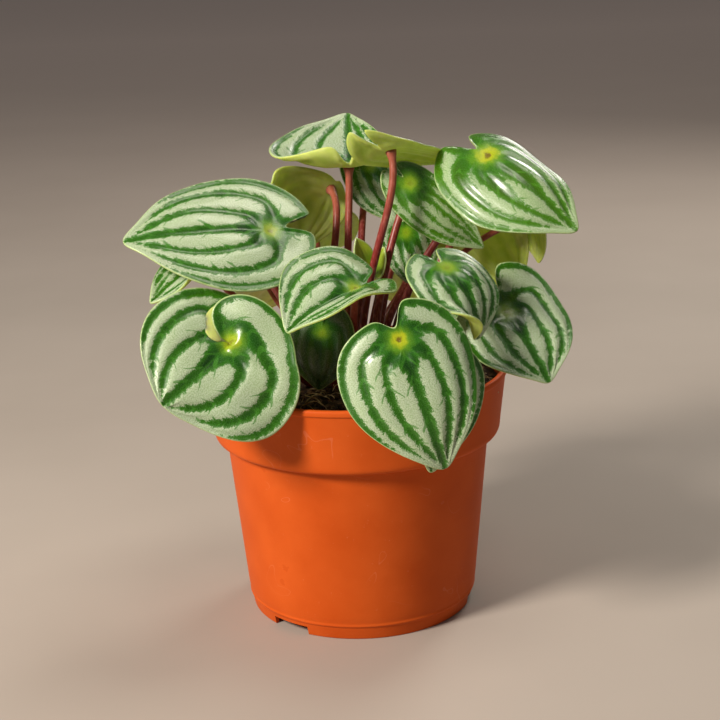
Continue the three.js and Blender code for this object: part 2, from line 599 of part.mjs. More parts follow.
function soil(leaves) {
  const floor = FLOOR_HEIGHT + WALL + CLEARANCE;
  const gap = WALL + CLEARANCE + FACET_SAG;
  const bend = COLLAR_BOTTOM + 2 * WALL;
  const collarShare = (SOIL_EDGE_HEIGHT - bend) / (POT_HEIGHT - bend);
  const edgeRadius = mix(COLLAR_RADIUS, RIM_RADIUS - LIP_PROUD, collarShare) - gap;
  const profile = [
    [0, floor],
    [bodyRadius(floor) - gap - FLOOR_ROUNDING, floor],
    [bodyRadius(floor + FLOOR_ROUNDING) - gap, floor + FLOOR_ROUNDING],
    [BODY_TOP_RADIUS - gap, COLLAR_BOTTOM - WALL + CLEARANCE],
    [COLLAR_RADIUS - gap, bend + CLEARANCE],
    [edgeRadius, SOIL_EDGE_HEIGHT],
  ];
  for (let ring = SOIL_RINGS - 1; ring > 0; ring -= 1) {
    const radius = (edgeRadius * ring) / SOIL_RINGS;
    profile.push([radius, soilHeight(radius, edgeRadius)]);
  }
  profile.push([0, SOIL_EDGE_HEIGHT + SOIL_MOUND]);
  let body = solidOf(turned(profile, POT_SIDES));
  const draw = draws(SEED);
  for (let count = 0; count < CRUMBS; count += 1) body = body.add(solidOf(crumb(draw, edgeRadius)));
  for (let count = 0; count < ROOTS; count += 1) body = body.add(solidOf(root(draw, edgeRadius)));
  for (const leaf of leaves) {
    const radius = stalkRadius(leaf) + HOLE_CLEARANCE;
    const hole = tube(stalkPath(leaf, CLEARANCE), radius, STALK_SIDES, STALK_STEPS);
    body = body.subtract(solidOf(hole));
  }
  return geometryOf(body);
}

// ---------------------------------------------------------------- the plant in its pot

const plant = new THREE.Group();

function place(name, geometry, color, roughness) {
  const material = new THREE.MeshStandardMaterial({ color, roughness, metalness: 0 });
  material.name = name;
  const mesh = new THREE.Mesh(geometry, material);
  mesh.name = name;
  plant.add(mesh);
}

const leaves = Object.values(LEAVES).map(laidOut);
place('pot', pot(), '#c8501f', 0.5);
place('soil', soil(leaves), '#2a1c13', 1);
Object.keys(LEAVES).forEach((name, number) => {
  const leaf = leaves[number];
  place(`blade_${name}`, blade(leaf), BLADE_GREEN, 0.4);
  const stalk = tube(stalkPath(leaf), stalkRadius(leaf), STALK_SIDES, STALK_STEPS);
  place(`stalk_${name}`, stalk, STALK_RED, 0.45);
});

export default plant;
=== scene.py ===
"""A watermelon peperomia in its plastic nursery pot.

Metres, +Z up, the viewer stands at -Y. The origin is on the pot's axis, at the plane the pot stands on.
Sizes are written in millimetres, and turned to metres where a mesh is made. The leaves follow the same rows
and the same formulas as the solids that they stand for, on a finer grid. Only two curl tighter than their
solids: a lobe of lower_left and the tip of centre_curled.
"""

import math
from types import SimpleNamespace

import bpy
import numpy as np
from mathutils import Matrix, Vector


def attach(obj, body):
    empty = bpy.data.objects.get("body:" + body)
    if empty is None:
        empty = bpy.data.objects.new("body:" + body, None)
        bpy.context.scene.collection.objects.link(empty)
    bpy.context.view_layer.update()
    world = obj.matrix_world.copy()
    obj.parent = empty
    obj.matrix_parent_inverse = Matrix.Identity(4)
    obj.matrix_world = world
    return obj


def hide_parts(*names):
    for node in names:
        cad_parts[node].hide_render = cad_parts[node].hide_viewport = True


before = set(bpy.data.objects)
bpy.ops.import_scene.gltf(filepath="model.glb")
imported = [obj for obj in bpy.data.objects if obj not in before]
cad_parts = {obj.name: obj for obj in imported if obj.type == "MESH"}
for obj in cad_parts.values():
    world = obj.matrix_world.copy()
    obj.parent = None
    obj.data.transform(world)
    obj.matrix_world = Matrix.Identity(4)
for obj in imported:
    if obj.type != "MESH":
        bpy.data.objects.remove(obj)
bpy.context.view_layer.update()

MM = 0.001
TINY = 1e-6
LEAST_LENGTH = 1e-9  # keeps a division by a length finite
LEAST_BEND = 1e-4  # the same for a flat part's bend, in radians

# ---------------------------------------------------------------- driving sizes, in millimetres

POT_HEIGHT = 97.8
RIM_RADIUS = 60
WALL = 1.5
COLLAR_BOTTOM = 71.6
COLLAR_RADIUS = 57
BODY_TOP_RADIUS = 52.3
SEAM_HEIGHT = 6
SEAM_RADIUS = 45.9
FOOT_RADIUS = 44.6
FLOOR_HEIGHT = 4
LIP_HEIGHT = 2.2  # the proud band round the top of the collar
LIP_PROUD = 0.6
RIM_ROUNDING = 0.7
COLLAR_STEP = 3  # how far over its lower edge the collar is hollow at its full width
FLOOR_CORNER = (1.4, 2)  # how far in and how far up the wall leaves the floor
POT_SIDES = 192
ARC_STEPS = 4
LONGEST_ROUNDING = 0.45  # a corner is rounded over no more than this share of its sides
SHARP_ANGLE = 38  # degrees

DRAIN_HOLES = 6
DRAIN_RADIUS = 4
DRAIN_CIRCLE = 28
DRILL_ENDS = (-2, 4)  # under and over the floor's lower face
DRILL_SIDES = 40
SKIRT_GAPS = 3
SKIRT_GAP_WIDTH = 17
SKIRT_GAP_HEIGHT = 3.6
SKIRT_CUT_DEPTH = 4  # to either side of the wall's outer face
FIRST_GAP_ANGLE = 230  # degrees

SOIL_EDGE_HEIGHT = 90.5
SOIL_MOUND = 3.5
SOIL_CLEARANCE = 0.3  # over the pot's floor and over its inner corners
SOIL_WALL_GAP = 0.4
SOIL_EDGE_GAP = 0.2
SOIL_SIDES = 160
SOIL_RINGS = 48
INNERMOST_RING = 0.02  # as a share of the soil's radius
SOIL_GRAIN = 0.35  # the broken skin rises and falls by this much
SOIL_SEED = 5
HOLLOW_DEPTHS = (1.1, 0.6)
HOLLOW_WAVES = (0.19, 0.23, 0.45, 0.38)  # radians a millimetre
HOLLOW_FADE = 8

BLADE_THICKNESS = 1.0
YOUNG_THICKNESS = 0.6
FULL_LENGTH = 30  # a blade shorter than this is still young
HALF_GROWN = 0.5
WIDEST = 0.25  # where the blade is widest, as a share of the midrib
LOBE_START = 0.5  # grid lines nearer to the midrib than this start at the stalk
NOTCH_WIDTH = 0.12  # radians round the outline
DRIP_WIDTH = 0.3  # the same for the drawn-out tip
DRIP_LENGTH = 0.07
CURL_START = 0.65
DIMPLE_DEPTH = 1  # the blade sinks a little where the stalk holds it
DIMPLE_RADIUS = 5.5
SWIRL_FADE = (0.2, 0.1)  # over what share of the blade the turn dies away, on the leading and the other side
ROLL_RISE = 0.1
ROLL_END = 0.5
STALK_RADIUS = 1.6
STALK_FOOT_HEIGHT = 79
STALK_ARRIVAL = 0.22  # how long it runs square to the blade at its end, as a share of its length
STALK_TAPER = (1.0, 0.88)
STALK_NECK = (0.55, 0.035)  # how much stouter it gets at the blade, and over what share of its length
STALK_BASE = (0.2, 0.2)  # the same at the soil
YOUNG_STALK = 0.5
NO_STALK_WAY = (0.3, 1, 0.1)  # a direction that no stalk starts in

LINES_SPREAD = 0.3  # the grid lines have parted within this share of the midrib
ROW_CROWDING = 1.5  # rows lie closer at the notch
MIDDLE = (0.35, 0.4)  # where the middle's bend is full, and where the tip's begins
SPINE_STEPS = 24
BLADE_GRID = (64, 84)  # lines across and along
YOUNG_GRID = (28, 32)
MARGIN_LINES = (0.975, 0.993)  # the last lines before the edge, as shares of the half width
STALK_SIDES = 16
STALK_STEPS = 60

# The veins run from the stalk to the tip at these shares of the half width. The midrib comes first.
VEINS = (0, 0.36, 0.68, 0.93)
VEIN_HALF_WIDTHS = (1.9, 1.45, 1.5, 1.3)
VEIN_TAPER = (1.15, 0.75)  # how wide they are at the stalk and at the tip
FULL_WIDTH = 52  # a blade of this width has veins of that width
WIDEST_VEINS = 1.15  # and on a wider blade they are at most so much wider
VEIN_WANDER = 0.012  # how far they wander, as a share of the half width
WANDER_WAVES = 7
WANDER_SHIFT = 2.3  # from one vein to the next
VEIN_ENDS = (1.15, 1.03, 0.94, 0.88)  # where they run out, as shares of the midrib
VEIN_FADE = 0.25  # over what share of the midrib they narrow to nothing
VEIN_START = 0.06  # all veins leave the stalk, and part within this share of the midrib
VEIN_STEPS = 140
HUB_SPREAD = (3.4, 3.5, 12)  # the veins are this much wider at the stalk, between these distances from it
HUB_AHEAD = 0.75  # a mm to the tip's side counts for this much, so the wider part runs on there
SMALLEST_HUB = 0.6  # how far it shrinks at most on a narrow blade
YOUNG_HUB = 3  # on a young blade the green and the eye round the stalk are this much narrower
FAR_AWAY = 1e3
FEATHER_SLANT = 0.7  # how far teeth and veinlets run on to the tip for each mm away from their vein
QUILT_DEPTH = 0.7  # how far the veins lie under the bands between them
QUILT_WIDTH = 1.7
QUILT_FROM_MARGIN = (0, 4)  # the quilting comes in between these distances from the margin
QUILT_FROM_STALK = (2, 8)
RIPPLE = 0.5  # slow unevenness of a living blade
RIPPLE_WAVES = (0.16, 0.21)  # radians a millimetre
RIPPLE_SHIFT = 2  # from one leaf to the next
RIPPLE_FROM_STALK = (4, 12)

# Each vein and each leaf draws its grain from a place of its own in the noise.
VEIN_PLACE = 17
LEAF_FEATHER_PLACE = 10.0
LEAF_FLAT_PLACE = 100

# Teeth and side veins of the dark green, in millimetres.
TOOTH_REACHES = (1.2, 4.6)  # where the leaf is calm and where it is ragged
GRAIN_REACH = 2.4
VEINLET_HALF_SPACING = 3.9
VEINLET_WOBBLE = 1.8
VEINLET_LENGTH = 7
VEINLET_WIDTH = 0.16  # for each mm that is left of its length
HUB_UNEVENNESS = 3

# Which leaves are young, fresh or in deep shade, how much further the green spreads round the stalk, and how
# yellow the eye over the stalk is.
YOUNG_LEAVES = ("young_front", "young_back")
FRESH_LEAVES = ("top_right", "centre_top")
SHADED_LEAVES = ("shaded",)
GREEN_HUBS = {"top_right": 2.3, "centre_top": 1.3, "centre_curled": 1.5}
EYES = {"front": 0.8, "top_right": 0.8, "upper_left": 0.45, "lower_left": 0.5, "centre_left": 0.5}
PLAIN_EYE = 0.25

# The greens that those leaves lean to, and how far. The shaded leaves' dark green is painted shade.
YOUNG_GREEN = ("#b2c838", 0.8)
FRESH_GREEN = ("#64980e", 0.25)
SHADE_GREEN = ("#123c08", 0.88)

# The upper side's colours. A list of places and colours begins with its two ends. The veins' greens run from
# deep inside them to their edge.
VEIN_GREENS = [(0, "#103a02"), (1, "#3a7716"), (0.8, "#1d5a07")]
VEINLET_GREEN = "#3d7a1f"
SILVER = "#bccbab"
SPECKLE_GREEN = "#7b9769"
HAZE_GREEN = "#9db584"
MARGIN_GREEN = "#b4cb88"

# Rings round the stalk: full inside the first distance, none outside the second, the share and the colour.
HUB_RINGS = [(4.5, 12.0, 0.6, "#2c6a18"), (2.2, 6.5, 0.7, "#74a31f")]
EYE_RINGS = [(1.6, 3.9, "#b4b81c"), (0.5, 1.6, "#5a3c18")]

# The other colours. The underside's run from the middle of a vein to the middle of a band.
UNDER_BANDS = [(0, "#bcc970"), (1, "#a3b550"), (0.4, "#94a83e")]
UNDER_PALE = "#d2d68a"
# The stalk's reds run to near black at the soil: that end is painted shade under the leaves.
STALK_REDS_AND_SHADE = [(0, "#451311"), (1, "#a05a44"), (0.5, "#802826"), (0.88, "#9c3a38")]  # from soil to blade
STALK_FLECK = "#cc7c70"
POT_DARK = "#c65014"
POT_ORANGE = "#cc5418"
POT_LIGHT = "#d25b1e"
POT_DUST = "#e09a78"
POT_SCUFF = "#eeb094"
SCUFF_LINE = (0.61, 0.0045)  # the noise value that a scuff follows, and its half width
SOIL_BROWNS = [(0.3, "#160d08"), (0.75, "#93704c"), (0.5, "#2f1e13"), (0.64, "#573c26")]
FIBRE_STRAWS = [(0.35, "#7d5a34"), (0.68, "#eed9ae"), (0.5, "#c09b66")]

# What is strewn over the soil: how many to a square metre, the smallest and the largest scale, and the seed.
CRUMBS = (9e4, (0.35, 1.6), 3)
FIBRES = (2.2e4, (0.3, 1.25), 8)
TILT = 0.9  # radians that they lean at most
ROUGHEN = 1.4 * MM  # how far their points are moved, so that no two are alike
ROUGHEN_SCALE = 0.35 / MM
STREWN_MARGIN = 2.5
STREWN_RINGS = 30
STREWN_SIDES = 96

# The stage, in metres. Each lamp: its place, its aim, its diameter, its power in watts and its colour.
FLOOR_REACH = 8
FLOOR_TONES = [(0.3, "#a59a90"), (0.7, "#aca197")]
# The far tone is painted light, standing in for lamp light far behind the pot.
FLOOR_FAR_PAINTED_LIGHT = "#f0ddd0"
ROOM_COLOUR = "#d2cecd"
ROOM_LIGHT = 0.19
LAMPS = {
    "key": ((-0.75, -0.6, 0.75), (0, 0, 0.1), 0.3, 19, "#fff6ea"),
    "fill": ((0.9, -0.8, 0.5), (0, 0, 0.1), 0.9, 0.1, "#eef3ff"),
    "top": ((0.25, 0.1, 1.1), (0, 0, 0.15), 0.45, 3, "#fff6e8"),
    "back": ((0.45, 0.75, 0.7), (0, 0, 0.13), 0.35, 3.5, "#fffaf0"),
}

# The photograph's viewpoint, in metres and degrees. The lens and the sensor are in millimetres.
VIEW_TARGET = (0.0019, 0, 0.0996)
VIEW_DISTANCE = 0.649
VIEW_ELEVATION = 16.4
VIEW_ROLL = -1.9
LENS = 81.85
SENSOR = 36

ATTRIBUTE, MAPPING = "ShaderNodeAttribute", "ShaderNodeMapping"
MATH, VECTOR_MATH = "ShaderNodeMath", "ShaderNodeVectorMath"
NOISE, RANGE, MIX, RAMP = "ShaderNodeTexNoise", "ShaderNodeMapRange", "ShaderNodeMix", "ShaderNodeValToRGB"

# Each leaf: the point over its stalk, its tip, the azimuth and elevation that its upper side faces, the half
# widths left and right of the midrib, the depth of the lobes and the notch behind the stalk, how much
# narrower than an ellipse it gets to the tip and how much fuller to the lobes, and its bends in degrees: bow
# of the midrib, curl of the tip, lift of the lobes, fold, and the turn from midrib to edge at the lobes, the
# middle and the tip. swirl turns the lobes round the stalk, roll is how high the leading one then stands,
# foot is where the stalk stands and reach says how long it rises upright before it leans, as a share of its
# length. What a row leaves out is as in the usual leaf.
USUAL_LEAF = dict(
    notch=5, taper=0.3, full=0.15, bow=20, curl=10, lift=0, fold=0, lobes=(-20, -20), sides=(-20, -20),
    toes=(-10, -20), swirl=0, roll=0, reach=0.6,
)
LEAVES = {
    "upper_left": dict(
        stalk=(-30, -18, 157), tip=(-84, -31, 157), faces=(-97, 48), half=(27, 27), lobe=(17, 18),
        notch=7, full=0.1, bow=22, curl=8, lift=8, lobes=(-10, 10), sides=(-14, -16), toes=(-10, -10),
        swirl=16, foot=(-12, -2), reach=0.5,
    ),
    "lower_left": dict(
        stalk=(-45, -50, 122), tip=(-69, -68, 105), faces=(-72, 32), half=(35, 29), lobe=(15, 16),
        notch=4, taper=-0.05, bow=16, curl=0, lift=12, lobes=(10, -10), sides=(-10, -6), toes=(-10, -6),
        swirl=120, roll=8, foot=(-11, -10), reach=0.35,
    ),
    "centre_left": dict(
        stalk=(1, -36, 138), tip=(-24, -53, 126), faces=(-106, 62), half=(19, 24), lobe=(14, 13),
        notch=6, bow=24, curl=6, lift=-16, fold=26, lobes=(-40, -10), sides=(6, -20), toes=(0, -14),
        foot=(-1, -12),
    ),
    "front": dict(
        stalk=(16, -66, 126), tip=(31, -74, 80), faces=(-88, 28), half=(25, 27), lobe=(14, 10),
        full=0.25, bow=34, lift=4, sides=(-34, -30), toes=(-20, -20), foot=(4, -17),
    ),
    "right": dict(
        stalk=(58, -24, 124), tip=(72, -40, 100), faces=(-68, 22), half=(24, 21), lobe=(21, 18),
        notch=7, full=0.7, curl=20, lift=8, lobes=(-16, -16), sides=(-22, -22), toes=(-10, -10),
        foot=(14, -6), reach=0.55,
    ),
    "centre_curled": dict(
        stalk=(35, -36, 145), tip=(45, -44, 119), faces=(-60, 50), half=(20, 19), lobe=(12, 13),
        notch=4, bow=90, curl=0, lobes=(-20, -10), sides=(-40, -20), toes=(-20, 360), foot=(9, -11),
    ),
    "centre_top": dict(
        stalk=(23.5, 5, 169), tip=(52, 6, 142), faces=(-125, 35), half=(9, 13), lobe=(10, 12), notch=4,
        bow=30, curl=0, lobes=(-10, -20), sides=(-20, -25), toes=(-10, -10), foot=(6, -3),
    ),
    "top_right": dict(
        stalk=(53, 0, 180), tip=(85, -20, 153), faces=(-108, 55), half=(19, 26), lobe=(15, 21), notch=6,
        bow=45, curl=-10, lift=-15, lobes=(-50, -40), sides=(-60, -40), toes=(-50, -25), foot=(13, 9),
    ),
    "top_left": dict(
        stalk=(0, 18, 175), tip=(0, 60, 189), faces=(-90, 78), half=(32, 16), lobe=(15, 15), notch=6,
        full=0, bow=-35, curl=20, lift=95, lobes=(20, 40), sides=(12, 30), toes=(20, 20), foot=(-3, 3),
    ),
    "top_middle": dict(
        stalk=(16, -2, 184), tip=(42, 24, 172), faces=(80, 50), half=(14, 8), lobe=(20, 18), lift=50,
        lobes=(-20, 70), sides=(-30, -10), toes=(-10, -10), foot=(1, -4),
    ),
    "hanging_left": dict(
        stalk=(-8, 32, 163), tip=(-21, 23, 139), faces=(95, 35), half=(31, 12), lobe=(5, 5), notch=4,
        full=-0.3, bow=40, lobes=(-10, -30), sides=(-30, -50), foot=(-12, 11),
    ),
    "behind_top": dict(
        stalk=(9, 44, 170), tip=(22, 38, 146), faces=(-70, 10), half=(13, 14), lobe=(14, 14),
        lobes=(-20, -30), sides=(-20, -30), foot=(2, 13),
    ),
    "behind_right": dict(
        stalk=(48, 30, 150), tip=(68, 22, 122), faces=(75, 20), half=(22, 20), lobe=(16, 16),
        foot=(21, 15), reach=0.5,
    ),
    "behind_centre": dict(
        stalk=(22, 21, 146), tip=(27, 16, 123), faces=(-80, 20), half=(12, 11), lobe=(13, 13),
        foot=(8, 5),
    ),
    "far_right": dict(
        stalk=(73, 16, 152), tip=(74, 11, 134), faces=(20, 10), half=(13, 13), lobe=(14, 14),
        foot=(18, 3),
    ),
    "far_left": dict(
        stalk=(-55, -16, 148), tip=(-75, -34, 134), faces=(-110, 50), half=(15, 11), lobe=(12, 14),
        bow=10, curl=0, fold=10, lobes=(60, -20), sides=(70, -20), toes=(40, -20), foot=(-17, -6),
        reach=0.3,
    ),
    "shaded": dict(
        stalk=(-12, -31, 120), tip=(-14, -32, 98), faces=(-95, 5), half=(13, 14), lobe=(12, 14),
        foot=(-7, -17), reach=0.3,
    ),
    "under_front": dict(
        stalk=(30, -57, 117), tip=(26, -67, 76), faces=(-80, 15), half=(19, 13), lobe=(6, 6), bow=10,
        curl=0, sides=(-20, -10), toes=(-10, -10), foot=(10, -17), reach=0.5,
    ),
    "under_right": dict(
        stalk=(35, -20, 133), tip=(32, -37, 117), faces=(-115, 45), half=(8, 6), lobe=(7, 7), notch=4,
        curl=0, sides=(-10, -10), toes=(-10, -10), foot=(16, -12), reach=0.5,
    ),
    "back_left": dict(
        stalk=(-42, 26, 146), tip=(-72, 48, 126), faces=(142, 48), half=(24, 24), lobe=(16, 17),
        notch=6, bow=30, sides=(-25, -25), toes=(-15, -15), swirl=5, foot=(-15, 4), reach=0.5,
    ),
    "back_middle": dict(
        stalk=(-16, 50, 147), tip=(-23, 77, 119), faces=(100, 45), half=(22, 21), lobe=(21, 20),
        notch=6, bow=35, sides=(-28, -25), toes=(-15, -15), swirl=-5, foot=(-5, 15), reach=0.55,
    ),
    "back_right": dict(
        stalk=(38, 56, 147), tip=(63, 71, 127), faces=(50, 48), half=(23, 25), lobe=(20, 21), notch=6,
        bow=30, sides=(-25, -25), toes=(-15, -15), foot=(8, 16), reach=0.5,
    ),
    "low_back_left": dict(
        stalk=(-36, 52, 120), tip=(-50, 71, 96), faces=(125, 38), half=(20, 20), lobe=(14, 14), bow=25,
        lobes=(-15, -15), toes=(-15, -15), foot=(-12, 14), reach=0.45,
    ),
    "low_back_right": dict(
        stalk=(24, 57, 122), tip=(32, 76, 96), faces=(72, 38), half=(20, 20), lobe=(14, 13), bow=25,
        lobes=(-15, -15), toes=(-15, -15), foot=(2, 21), reach=0.45,
    ),
    "young_front": dict(
        stalk=(6, -3, 140), tip=(2, -4, 150), faces=(-60, 10), half=(5, 4), lobe=(3, 3), notch=1, bow=0,
        curl=0, fold=8, lobes=(0, 0), sides=(10, 10), toes=(10, 10), foot=(-4, -6),
    ),
    "young_back": dict(
        stalk=(9, 6, 134), tip=(13, 5, 144), faces=(-120, 10), half=(5, 5), lobe=(3, 3), notch=1,
        full=0, curl=0, fold=12, lobes=(10, 10), sides=(15, 15), toes=(10, 10), foot=(3, 7),
    ),
}

# ---------------------------------------------------------------- small helpers


def smooth(low, high, value):
    share = np.clip((np.asarray(value, float) - low) / (high - low), 0, 1)
    return share * share * (3 - 2 * share)


def mix(start, end, share):
    return start + (end - start) * share


def unit(vector):
    return vector / np.linalg.norm(vector)


def shown(name, mesh):
    """An object that holds a mesh, in the scene."""
    thing = bpy.data.objects.new(name, mesh)
    bpy.context.scene.collection.objects.link(thing)
    return thing


def shape(name, points, faces):
    """A plain object made from points in millimetres, with no finish and no part in the model yet."""
    mesh = bpy.data.meshes.new(name)
    mesh.from_pydata([tuple(point * MM) for point in points], [], faces)
    return shown(name, mesh)


def piece(name, points, faces, materials, replaces, face_materials=None):
    """A smooth shape with its materials that is a piece of the model."""
    thing = shape(name, points, faces)
    mesh = thing.data
    for material in materials:
        mesh.materials.append(material)
    if face_materials is not None:
        mesh.polygons.foreach_set("material_index", face_materials)
    mesh.shade_smooth()
    mesh.update()
    settle(thing, replaces)
    return thing


def settle(thing, replaces=()):
    """Makes a thing a piece: it rides with the pot and stands for CAD nodes."""
    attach(thing, "root")
    if replaces:
        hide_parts(*replaces)


def give(mesh, name, values, kind="FLOAT"):
    """Stores one value, or one vector, for each point of a mesh."""
    layer = mesh.attributes.new(name, kind, "POINT")
    layer.data.foreach_set("value" if kind == "FLOAT" else "vector", np.ravel(values).astype(np.float32))


# ---------------------------------------------------------------- materials


def colour(text):
    """A colour written as sRGB hex, in linear light."""
    parts = [int(text[place : place + 2], 16) / 255 for place in (1, 3, 5)]
    return (*[p / 12.92 if p <= 0.04045 else ((p + 0.055) / 1.055) ** 2.4 for p in parts], 1)


def add(tree, kind, inputs=None, stops=(), **settings):
    """Adds a node with its settings and links. An input takes a plain value, an output that feeds it, or a
    node, whose first live output then feeds it. stops are a colour ramp's places and hex colours."""
    node = tree.nodes.new(kind)
    for name, value in settings.items():
        setattr(node, name, value)
    for key, value in (inputs or {}).items():
        if isinstance(value, bpy.types.Node):
            value = next(output for output in value.outputs if output.enabled)
        if isinstance(value, bpy.types.NodeSocket):
            tree.links.new(value, node.inputs[key])
        else:
            node.inputs[key].default_value = value
    for number, (place, tint) in enumerate(stops):
        elements = node.color_ramp.elements
        element = elements[number] if number < 2 else elements.new(1)
        element.position, element.color = place, colour(tint)
    return node


def finish(name, **sockets):
    """A new material, its node tree and its one shader, whose sockets take plain values."""
    material = bpy.data.materials.new(name)
    material.use_nodes = True
    tree = material.node_tree
    shader = tree.nodes["Principled BSDF"]
    for key, value in sockets.items():
        shader.inputs[key.replace("_", " ")].default_value = value
    return material, tree, shader


def wire(tree, shader, tint, normal=None, roughness=None):
    """Links a finished colour, bump and roughness to the shader."""
    for key, node in [("Base Color", tint), ("Normal", normal), ("Roughness", roughness)]:
        if node:
            tree.links.new(next(output for output in node.outputs if output.enabled), shader.inputs[key])


def leaf_upper(name, ground=None, ground_share=0.0):
    """Upper side of a living leaf: a waxy cuticle over silver bands, where air lies under the skin, and dark
    green veins. It gives the eye soft window-shaped lights on a cool, finely grained pale green."""
    material, tree, shader = finish(name, Roughness=0.3, IOR=1.48, Coat_Weight=0.3, Coat_Roughness=0.14,
        Subsurface_Weight=0.05, Subsurface_Scale=0.8 * MM, Subsurface_Radius=(0.6, 1.0, 0.3))
    distances = ("vein", "margin", "hub", "eye")
    vein, margin, hub, eye = (add(tree, ATTRIBUTE, attribute_name=key).outputs["Fac"] for key in distances)
    places = ("flat", "feather")
    flat, feather = (add(tree, ATTRIBUTE, attribute_name=key).outputs["Vector"] for key in places)

    # The veins' edges are feathered: teeth 1 to 2 mm apart that lean to the tip, and finer grain on them.
    teeth_place = add(tree, MAPPING, {"Vector": feather, "Scale": (0.5, 0.22, 0.5)})
    teeth = add(tree, NOISE, {"Vector": teeth_place, "Scale": 1, "Detail": 3, "Roughness": 0.6})
    cells = add(tree, NOISE, {"Vector": flat, "Scale": 2.2, "Detail": 2, "Roughness": 0.7})
    clouds = add(tree, NOISE, {"Vector": flat, "Scale": 0.14, "Detail": 2})
    calm, wild = TOOTH_REACHES
    reach = {"Value": clouds, "From Min": 0.35, "From Max": 0.62, "To Min": calm, "To Max": wild}
    reach = add(tree, RANGE, reach)
    jagged = add(tree, MATH, {0: teeth, 1: 0.5}, operation="SUBTRACT")
    jagged = add(tree, MATH, {0: jagged, 1: reach, 2: vein}, operation="MULTIPLY_ADD")
    ragged = add(tree, MATH, {0: cells, 1: 0.5}, operation="SUBTRACT")
    ragged = add(tree, MATH, {0: ragged, 1: GRAIN_REACH, 2: jagged}, operation="MULTIPLY_ADD")
    depth = add(tree, RANGE, {"Value": ragged, "From Min": -2.5, "From Max": 0.4})
    green = add(tree, RAMP, {0: depth}, VEIN_GREENS)

    # The silver's grain: cells of about 0.2 mm, drawn twice as coarse to show, and slow clouds of green.
    speckle = add(tree, RANGE, {"Value": cells, "From Min": 0.6, "From Max": 0.38, "To Max": 0.7})
    silver = add(tree, MIX, {0: speckle, 6: colour(SILVER), 7: colour(SPECKLE_GREEN)}, data_type="RGBA")
    haze = add(tree, RANGE, {"Value": clouds, "From Min": 0.4, "From Max": 0.7, "To Max": 0.35})
    silver = add(tree, MIX, {0: haze, 6: silver, 7: colour(HAZE_GREEN)}, data_type="RGBA")
    outside = add(tree, RANGE, {"Value": ragged, "From Min": -0.1, "From Max": 0.45})
    tint = add(tree, MIX, {0: outside, 6: green, 7: silver}, data_type="RGBA")

    # Wedge-shaped side veins leave each vein at a slant, about 8 mm apart, and run out in the silver.
    apart = add(tree, "ShaderNodeSeparateXYZ", {0: feather})
    wobble = add(tree, NOISE, {"Vector": flat, "Scale": 0.4, "Detail": 2})
    along, across = apart.outputs[0], apart.outputs[1]
    line = add(tree, MATH, {0: across, 1: -FEATHER_SLANT, 2: along}, operation="MULTIPLY_ADD")
    line = add(tree, MATH, {0: wobble, 1: VEINLET_WOBBLE, 2: line}, operation="MULTIPLY_ADD")
    line = add(tree, MATH, {0: line, 1: VEINLET_HALF_SPACING}, operation="PINGPONG")
    gate_place = add(tree, MAPPING, {"Vector": feather, "Scale": (0.16, 0, 1)})
    gate = add(tree, NOISE, {"Vector": gate_place, "Scale": 1, "Detail": 0})
    length = add(tree, RANGE, {"Value": gate, "From Min": 0.4, "From Max": 0.7, "To Max": VEINLET_LENGTH})
    left_over = add(tree, MATH, {0: length, 1: vein}, operation="SUBTRACT")
    inner = add(tree, RANGE, {"Value": margin, "From Min": 3, "From Max": 7})
    left_over = add(tree, MATH, {0: left_over, 1: inner}, operation="MULTIPLY")
    wedge = add(tree, MATH, {0: left_over, 1: VEINLET_WIDTH}, operation="MULTIPLY")
    wedge = add(tree, MATH, {0: wedge, 1: line}, operation="SUBTRACT")
    drawn = add(tree, RANGE, {"Value": wedge, "From Min": -0.15, "From Max": 0.15, "To Max": 0.75})
    tint = add(tree, MIX, {0: drawn, 6: tint, 7: colour(VEINLET_GREEN)}, data_type="RGBA")

    uneven = add(tree, MATH, {0: wobble, 1: 0.5}, operation="SUBTRACT")
    hub = add(tree, MATH, {0: uneven, 1: HUB_UNEVENNESS, 2: hub}, operation="MULTIPLY_ADD")
    if ground:
        tint = add(tree, MIX, {0: ground_share, 6: tint, 7: colour(ground)}, data_type="RGBA")
    soft = dict(interpolation_type="SMOOTHSTEP")
    for full, none, share, ring_green in HUB_RINGS:
        ring = {"Value": hub, "From Min": none, "From Max": full, "To Max": share}
        ring = add(tree, RANGE, ring, **soft)
        tint = add(tree, MIX, {0: ring, 6: tint, 7: colour(ring_green)}, data_type="RGBA")
    for full, none, yellow in EYE_RINGS:
        ring = add(tree, RANGE, {"Value": hub, "From Min": none, "From Max": full}, **soft)
        ring = add(tree, MATH, {0: ring, 1: eye}, operation="MULTIPLY")
        tint = add(tree, MIX, {0: ring, 6: tint, 7: colour(yellow)}, data_type="RGBA")
    rim = add(tree, RANGE, {"Value": margin, "From Min": 0.75, "From Max": 0.2, "To Max": 0.85})
    tint = add(tree, MIX, {0: rim, 6: tint, 7: colour(MARGIN_GREEN)}, data_type="RGBA")

    swell = add(tree, RANGE, {"Value": ragged, "From Min": -0.6, "From Max": 1.2})
    height = add(tree, MATH, {0: cells, 1: 0.9, 2: swell}, operation="MULTIPLY_ADD")
    bump = add(tree, "ShaderNodeBump", {"Strength": 0.6, "Distance": 0.15 * MM, "Height": height})
    sheen = add(tree, RANGE, {"Value": cells, "To Min": 0.18, "To Max": 0.36})
    wire(tree, shader, tint, bump, sheen)
    return material


